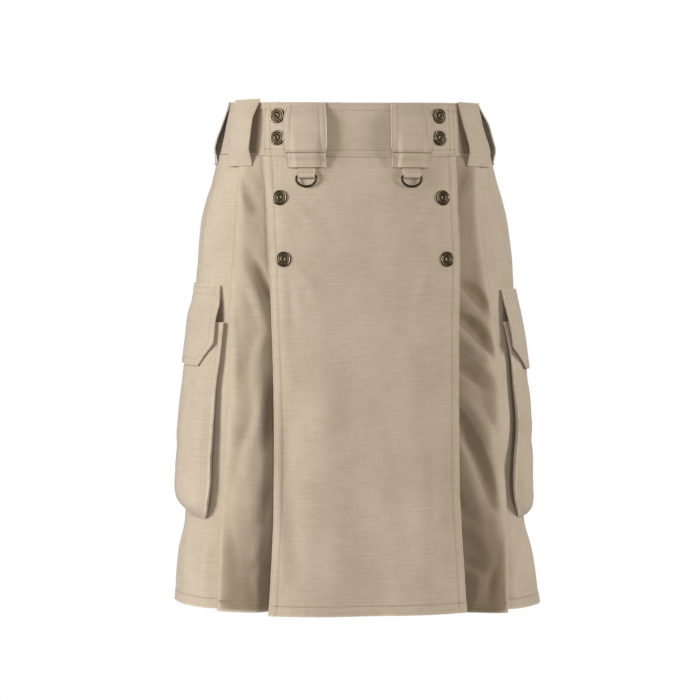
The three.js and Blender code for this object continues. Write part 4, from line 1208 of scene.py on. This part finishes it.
def cotton(name, base, worn, shade):
    """Ripstop cotton: fine weave, a square grid of thicker threads, slubs, fading, worn edges and painted
    shade.
    """
    cloth = Finish(name, Sheen_Weight=0.22, Sheen_Roughness=0.55, Specular_IOR_Level=0.3)
    cut = cloth.node("ShaderNodeUVMap", {"uv_map": "cut"})
    axes = cloth.tree.nodes.new("ShaderNodeSeparateXYZ")
    cloth.put(axes.inputs[0], cut)
    u, v = Value(cloth, axes.outputs["X"]), Value(cloth, axes.outputs["Y"])

    def wave(value, pitch):
        return cloth.node("ShaderNodeMath", {"operation": "SINE"}, value * (2 * math.pi / pitch))

    def grid_line(value):
        cell = cloth.node("ShaderNodeMath", {"operation": "PINGPONG"}, value / RIPSTOP, 0.5)
        return 1 - cloth.between(cell, 0.035, 0.1)

    weave = wave(u, WARP) * wave(v, WARP)
    ribs = cloth.node("ShaderNodeMath", {"operation": "MAXIMUM"}, grid_line(u), grid_line(v))
    upright = cloth.node("ShaderNodeCombineXYZ", None, u * 1100, v * 60, 0.0)
    level = cloth.node("ShaderNodeCombineXYZ", None, u * 32, v * 620, 4.0)
    slubs = cloth.noise(upright, 1.0, 1.0) * 0.6 + cloth.noise(level, 1.0, 1.0) * 1.05 - 0.82
    place = cloth.node("ShaderNodeCombineXYZ", None, u, v, 0.0)
    faded = cloth.noise(place, 13.0, 4.0, 0.6)
    mottled = cloth.noise(place, 120.0, 3.0, 0.6)
    # The sheet's attribute: above zero it marks worn edges, below zero painted shade.
    edge = cloth.node("ShaderNodeAttribute", {"attribute_name": "wear_and_painted_shade"}, output=2)
    rubbed = cloth.between(edge, 0.05, 1.0) * cloth.between(mottled, 0.3, 0.62)
    painted_shade = cloth.between(edge * -1.0, 0.05, 0.9)
    tone = cloth.between(faded + slubs * 0.65 + (mottled - 0.5) * 0.35, 0.2, 0.8)
    colour = cloth.blend(shade, base, tone)
    colour = cloth.blend(colour, tuple(0.86 * c for c in shade), ribs * GRID_TONE)
    # Painted shade: the colour goes towards DEEP_SHADE where the attribute is below zero, along stitch
    # lines, in hollows and under loops, pockets and folds.
    colour = cloth.blend(colour, DEEP_SHADE, painted_shade * 0.8)
    cloth.shape("Base Color", cloth.blend(colour, worn, rubbed * 0.55))
    cloth.shape("Roughness", slubs * 0.1 + 0.86 - rubbed * 0.06)
    height = weave * 0.1 + ribs * 0.12 + slubs * 0.9 + mottled * 0.25
    cloth.bump(0.32, 0.0003, height)
    return cloth.material


def thread_finish(name, base, light):
    thread = Finish(name, Sheen_Weight=0.2, Roughness=0.7)
    place = thread.node("ShaderNodeTexCoord", None, output=3)
    thread.shape("Base Color", thread.blend(base, light, thread.noise(place, 900.0, 2.0)))
    thread.bump(0.3, 0.0001, thread.noise(place, 5200.0, 1.0))
    return thread.material


def antique_brass(name):
    """Dark plated brass, rubbed bright where it stands out and dull in its hollows."""
    metal = Finish(name, Metallic=1.0)
    place = metal.node("ShaderNodeTexCoord", None, output=3)
    raised = metal.node("ShaderNodeAttribute", {"attribute_name": "wear_and_painted_shade"}, output=2)
    patches = metal.noise(place, 420.0, 4.0, 0.65)
    scratches = metal.noise(place, 2600.0, 3.0, 0.7)
    bright = metal.between(raised + (patches - 0.5) * 0.3, 0.4, 1.0)
    dark = metal.blend((0.028, 0.02, 0.012), (0.075, 0.055, 0.032), patches)
    metal.shape("Base Color", metal.blend(dark, (0.33, 0.26, 0.165), bright))
    metal.shape("Roughness", 0.46 - bright * 0.16 + (scratches - 0.5) * 0.24)
    metal.bump(0.25, 0.0001, scratches)
    return metal.material


KHAKI = cotton("khaki ripstop", (0.57, 0.462, 0.342), (0.7, 0.59, 0.46), (0.49, 0.39, 0.277))
THREAD_FINISH = thread_finish("khaki thread", (0.36, 0.28, 0.19), (0.52, 0.42, 0.31))
BRASS = antique_brass("antique brass")


# Hardware

CAP_PROFILE = (
    # from the middle, height; how rubbed
    (0, 2.55, 0.3), (1.9, 2.5, 0.35), (2.2, 2.75, 0.75), (2.75, 2.75, 0.75), (3.0, 2.3, 0.1),
    (5.2, 1.95, 0.15), (5.5, 2.15, 0.7), (6.1, 2.1, 0.7), (6.5, 1.35, 0.05), (6.9, 1.3, 0.05),
    (7.3, 1.9, 0.8), (7.9, 2.05, 1.0),
    (8.45, 1.7, 0.95), (8.75, 1.1, 0.7), (8.7, 0.45, 0.2), (8.2, 0.0, 0.0),
)
CAP_SIDES = 72
RAYS, RAY_START, RAY_END, RAY_RISE = 24, 2.9, 5.3, 0.22


def snap_cap_mesh():
    """A low dome inside a rolled rim, with a small centre ring and short rays between the rings."""
    bpy.ops.object.select_all(action="DESELECT")
    bpy.ops.mesh.primitive_circle_add(vertices=CAP_SIDES, radius=SNAP_RADIUS * MM, fill_type="NOTHING")
    piece = bpy.context.object
    bpy.ops.object.mode_set(mode="EDIT")
    bpy.ops.mesh.select_all(action="SELECT")
    reach, height = SNAP_RADIUS, 0.0
    for radius, level, _ in CAP_PROFILE[::-1]:
        bpy.ops.mesh.extrude_region_move(TRANSFORM_OT_translate={"value": (0, 0, (level - height) * MM)})
        size = max(radius, 0.001) / reach
        bpy.ops.transform.resize(value=(size, size, 1), center_override=(0, 0, level * MM))
        reach, height = max(radius, 0.001), level
    bpy.ops.mesh.select_all(action="SELECT")
    bpy.ops.mesh.remove_doubles(threshold=0.00001)
    bpy.ops.object.mode_set(mode="OBJECT")
    mesh = piece.data
    places = np.array([vertex.co for vertex in mesh.vertices]) / MM
    radius = np.hypot(places[:, 0], places[:, 1])
    angle = np.arctan2(places[:, 1], places[:, 0])
    profile = np.array(CAP_PROFILE)
    rubbed = np.interp(radius, profile[:, 0], profile[:, 2])
    ray = ease(np.cos(angle * RAYS) * 1.5) * ((radius > RAY_START) & (radius < RAY_END))
    for vertex, lift in zip(mesh.vertices, ray):
        vertex.co.z += RAY_RISE * lift * MM
    paint(mesh, "wear_and_painted_shade", np.maximum(rubbed, 0.6 * ray) * (places[:, 2] > 0.2))
    point_outwards(piece)
    bpy.data.objects.remove(piece)
    return mesh


def ring_outline():
    """The ring's middle line from the middle of the bar, down round the bow and back."""
    half, corner = RING["inner"] / 2 + RING["wire"], RING["corner"]
    low = -max(RING["drop"] - half, corner + 0.1)
    depth = RING["drop"] - RING["wire"] + low
    points = [(x, 0) for x in np.linspace(0.15, half - corner, 8)]
    points += [(half - corner + corner * math.sin(a), -corner + corner * math.cos(a))
               for a in np.linspace(0.2, math.pi / 2, 6)]
    bow = [(half * math.cos(a), low - depth * math.sin(a))
           for a in np.linspace(0.05, math.pi - 0.05, 36)]
    mirrored = [(-x, z) for x, z in points[::-1]]
    return points + bow + mirrored


def ring_piece(name, side):
    outline = np.array(ring_outline())
    curve = bpy.data.curves.new(name, "CURVE")
    curve.dimensions, curve.bevel_depth, curve.bevel_resolution = "3D", RING["wire"] * MM, 5
    curve.use_fill_caps = True
    spline = curve.splines.new("POLY")
    spline.points.add(len(outline) - 1)
    for point, (x, z) in zip(spline.points, outline * MM):
        point.co = (x, 0, z, 1)
    ring = link(name, curve)
    active(ring)
    bpy.ops.object.convert(target="MESH")
    ring = bpy.context.object
    place = local_frame(side * FRONT_LOOP[side], RING["bar"], RING["out"])
    ring.data.transform(place @ Matrix.Rotation(math.radians(-RING["lean"]), 4, "X"))
    spots = np.array([vertex.co for vertex in ring.data.vertices]) / MM
    paint(ring.data, "wear_and_painted_shade", 0.3 + 0.4 * unevenness(spots[:, 0] / 3, spots[:, 2] / 3, 70))
    bpy.ops.object.shade_smooth()
    ring.data.materials.append(BRASS)
    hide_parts(name)
    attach(ring, name)


# The camera stands a little to the left of the front, low and far off, as the photograph's did

# Millimetres to a pixel at the kilt's middle, and how far off the camera stands
SCALE = 1.18
FAR = 3500
SENSOR = 36
FOCAL_PX, FRAME_PX = 2966, 700
VIEW_FROM = math.radians(-5)
CAMERA_Z, HORIZON_ABOVE = -137, 100
AXIS_PX = 354.5

camera_data = bpy.data.cameras.new("camera")
camera = bpy.data.objects.new("camera", camera_data)
bpy.context.scene.collection.objects.link(camera)
bpy.context.scene.camera = camera
camera_data.sensor_width = SENSOR
camera_data.lens = SENSOR * FOCAL_PX / FRAME_PX
camera_data.shift_x = -(AXIS_PX - FRAME_PX / 2) / FRAME_PX
camera_data.clip_end = 100
dip = math.atan(HORIZON_ABOVE * SCALE / FAR)
camera.location = Vector((math.sin(VIEW_FROM) * FAR, -math.cos(VIEW_FROM) * FAR, CAMERA_Z)) * MM
look = Vector((
    -math.sin(VIEW_FROM) * math.cos(dip), math.cos(VIEW_FROM) * math.cos(dip), -math.sin(dip),
))
camera.rotation_euler = look.to_track_quat("-Z", "Y").to_euler()


def softbox(name, place, target, size, power, tint=(1, 1, 1)):
    lamp = bpy.data.lights.new(name, "AREA")
    lamp.shape, lamp.size, lamp.size_y, lamp.energy = "RECTANGLE", size[0], size[1], power
    lamp.color = tint
    light = bpy.data.objects.new(name, lamp)
    bpy.context.scene.collection.objects.link(light)
    light.location = place
    light.rotation_euler = (Vector(target) - Vector(place)).to_track_quat("-Z", "Y").to_euler()


MIDDLE = (0, 0, -0.27)
softbox("left softbox", (-2.59, -0.93, 0.35), MIDDLE, (0.9, 1.6), 76, (0.96, 0.98, 1))
softbox("right softbox", (2.67, -0.67, 0.2), MIDDLE, (0.7, 1.6), 46)
softbox("front fill", (-0.25, -3.9, 0.8), MIDDLE, (0.8, 0.8), 60)
softbox("back light", (0.8, 3.0, 1.2), MIDDLE, (2.0, 1.6), 30)

world = bpy.data.worlds.new("studio")
bpy.context.scene.world = world
world.use_nodes = True
sky = world.node_tree
sky.nodes.clear()
rays = sky.nodes.new("ShaderNodeLightPath")
seen, lit = sky.nodes.new("ShaderNodeBackground"), sky.nodes.new("ShaderNodeBackground")
seen.inputs["Color"].default_value, seen.inputs["Strength"].default_value = (1, 1, 1, 1), 1.0
lit.inputs["Color"].default_value, lit.inputs["Strength"].default_value = (1, 0.97, 0.92, 1), 0.05
both, shown = sky.nodes.new("ShaderNodeMixShader"), sky.nodes.new("ShaderNodeOutputWorld")
sky.links.new(rays.outputs["Is Camera Ray"], both.inputs[0])
sky.links.new(lit.outputs[0], both.inputs[1])
sky.links.new(seen.outputs[0], both.inputs[2])
sky.links.new(both.outputs[0], shown.inputs[0])
bpy.context.scene.view_settings.view_transform = "Standard"

FLOOR_Z, FLOOR_RADIUS = -1.0, 1.15
bpy.ops.object.select_all(action="DESELECT")
bpy.ops.mesh.primitive_circle_add(
    vertices=96, radius=FLOOR_RADIUS, fill_type="NGON", location=(0, 0, FLOOR_Z),
)
floor = bpy.context.object
floor.name = "floor"
pale = Finish("pale floor", Base_Color=(0.6, 0.6, 0.6, 1), Roughness=0.8)
floor.data.materials.append(pale.material)


# Putting the kilt together

SHELL, BAND_SHELL, STRAP_SHELL = 1.0, 2.0, 1.4


def upright_seam(u):
    return straight(u, 2, u, SKIRT_LENGTH - 2)


def hem_seam(first, last):
    level = SKIRT_LENGTH - HEM_LINE
    return straight(first, level, last, level)


def whole_hem(sheet, margin=1.5):
    return hem_seam(sheet.u[0] + margin, sheet.u[-1] - margin)


def build_apron():
    sheet = apron_sheet()
    piece = sew("apron_cloth", sheet, "apron", SHELL)
    declare(sheet)
    face, width = SHELL / 2, sheet.u[-1]
    outer, inner = APRON_LINES
    lines = [(sheet, whole_hem(sheet), face)]
    for u in (outer, inner, width - inner, width - outer):
        lines.append((sheet, upright_seam(u), face))
    sew_stitches("apron_stitches", lines)


# A row of points at which a pleat's fold stands furthest out
ROW_OF_FOLD = 90


def build_front_pleat(side):
    tag = SIDES[side]
    sheet = front_pleat_sheet(side)
    piece = sew(f"front_pleat_cloth_{tag}", sheet, f"front_pleat_{tag}", SHELL)
    declare(sheet)
    fold = int(np.argmax(np.abs(sheet.points[ROW_OF_FOLD, :, 0])))
    line_u = sheet.u[fold] - side * FOLD_LINE
    ends = (sheet.u[0] + 2, line_u) if side > 0 else (line_u, sheet.u[-1] - 2)
    lines = [(sheet, upright_seam(line_u), SHELL / 2), (sheet, hem_seam(*ends), SHELL / 2)]
    sew_stitches(f"front_pleat_stitches_{tag}", lines)


def build_side_panel(side):
    tag = SIDES[side]
    sheet = side_panel_sheet(side)
    piece = sew(f"side_panel_cloth_{tag}", sheet, f"side_panel_{tag}", SHELL)
    declare(sheet)
    sew_stitches(f"side_panel_stitches_{tag}", [(sheet, whole_hem(sheet, 16), SHELL / 2)])


def build_back():
    sheet, fold_lines = back_panel_sheet()
    piece = sew("back_panel_cloth", sheet, "back_panel", SHELL)
    declare(sheet)
    lines = [(sheet, upright_seam(u), SHELL / 2) for u in fold_lines]
    lines.append((sheet, whole_hem(sheet, 4), SHELL / 2))
    sew_stitches("back_panel_stitches", lines)


def build_waistband():
    round_waist = 2 * float(half_round(0))
    last = round_waist - BAND["tuck"]
    relief = {"upright": (), "level": BAND_TOP_LINES, "painted_shade_loops": LOOPS.values()}
    sheet, length = band_sheet(BAND["tuck"], last, -BAND_CLOTH / 2, 80, relief)
    piece = sew("waistband_cloth", sheet, "waistband", BAND_SHELL)
    declare(sheet)
    levels = (*BAND_TOP_LINES, *(length - line for line in BAND_FOOT_LINES))
    lines = [(sheet, straight(2, v, sheet.u[-1] - 2, v), BAND_SHELL / 2) for v in levels]
    sew_stitches("waistband_stitches", lines)


def build_band_front():
    width = BAND["flap_left"] + BAND["flap_right"]
    outer, inner = BAND_FLAP_ENDS
    upright = (outer, inner, width - inner, width - outer)
    relief = {"upright": upright, "level": (*BAND_FLAP_LINES, 59.5)}
    sheet, length = band_sheet(-BAND["flap_left"], BAND["flap_right"], BAND_FLAP_OUT, 85, relief)
    piece = sew("waistband_front_cloth", sheet, "waistband_front", BAND_SHELL)
    declare(sheet)
    levels = (*BAND_FLAP_LINES, 59.8)
    lines = [(sheet, straight(2, v, width - 2, v), BAND_SHELL / 2) for v in levels]
    lines += [(sheet, straight(u, 2, u, length - 2), BAND_SHELL / 2) for u in upright]
    sew_stitches("waistband_front_stitches", lines)


def build_straps():
    made = {name: belt_loop_sheet(loop, 60 + i) for i, (name, loop) in enumerate(LOOPS.items())}
    made["back_loop"] = back_loop_sheet()
    for side, tag in SIDES.items():
        made[f"front_loop_{tag}"] = front_loop_sheet(side)
    for name, (sheet, length) in made.items():
        piece = sew(f"{name}_cloth", sheet, name, STRAP_SHELL)
        declare(sheet)
        width, in_front = sheet.u[-1], name.startswith("front")
        seams = []
        for gap in (STRAP_LINE, STRAP_INNER_LINE) if in_front else (STRAP_LINE,):
            for u in (gap, width - gap):
                seams.append(straight(u, 2, u, length - 2))
        for v in (STRAP_TOP_LINE, length - STRAP_FOOT_LINE):
            seams.append(straight(2, v, width - 2, v))
        if in_front:
            first, last = STRAP_INNER_LINE, width - STRAP_INNER_LINE
            seams.append(straight(first, STRAP_TAB_LINE, last, STRAP_TAB_LINE))
        sew_stitches(f"{name}_stitches", [(sheet, seam, STRAP_SHELL / 2) for seam in seams])


def build_pocket(side):
    tag = SIDES[side]
    sheet, marks = pocket_sheet(side)
    piece = sew(f"pocket_cloth_{tag}", sheet, f"pocket_{tag}", SHELL)
    declare(sheet)
    lines = []
    for end in ("front", "rear"):
        lines.append((sheet, straight(marks[end], 3, marks[end], marks["length"] - 8), SHELL / 2))
    low = marks["length"] - POCKET_FOOT_LINE
    first, last = sorted((marks["front"], marks["rear"]))
    lines.append((sheet, straight(first + 1, low, last - 1, low), SHELL / 2))
    sew_stitches(f"pocket_stitches_{tag}", lines)

    sheet, marks = flap_sheet(side)
    piece = sew(f"pocket_flap_cloth_{tag}", sheet, f"pocket_flap_{tag}", STRAP_SHELL)
    declare(sheet)
    width, length = marks["width"], marks["length"]
    seams = [straight(2, v, width - 2, v) for v in FLAP_TOP_LINES]
    for gap in FLAP_LINES:
        seams += [straight(u, 12, u, length - gap) for u in (gap, width - gap)]
        seams.append(straight(gap, length - gap, width - gap, length - gap))
    sew_stitches(f"pocket_flap_stitches_{tag}", [(sheet, seam, STRAP_SHELL / 2) for seam in seams])


def build_hardware(side, cap):
    tag = SIDES[side]
    sheet = tab_sheet(side)
    piece = sew(f"ring_tab_cloth_{tag}", sheet, f"ring_tab_{tag}", SHELL)
    declare(sheet)
    ring_piece(f"d_ring_{tag}", side)
    for name, (z, left, right, on_band) in SNAPS.items():
        width = left if side < 0 else right
        face = BAND_FLAP_OUT + BAND_CLOTH / 2 if on_band else APRON_OUT + CLOTH / 2
        seat = local_frame(side * float(along_at_width(width, z)), z, face + SEAM_GAP, follow=True)
        snap = link(f"{name}_cap_{tag}", cap.copy())
        snap.data.transform(seat @ Matrix.Rotation(math.radians(90), 4, "X"))
        snap.data.materials.append(BRASS)
        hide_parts(f"{name}_{tag}")
        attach(snap, "kilt")


build_waistband()
build_band_front()
build_apron()
build_back()
build_straps()
cap_mesh = snap_cap_mesh()
for side in SIDES:
    build_front_pleat(side)
    build_side_panel(side)
    build_pocket(side)
    build_hardware(side, cap_mesh)
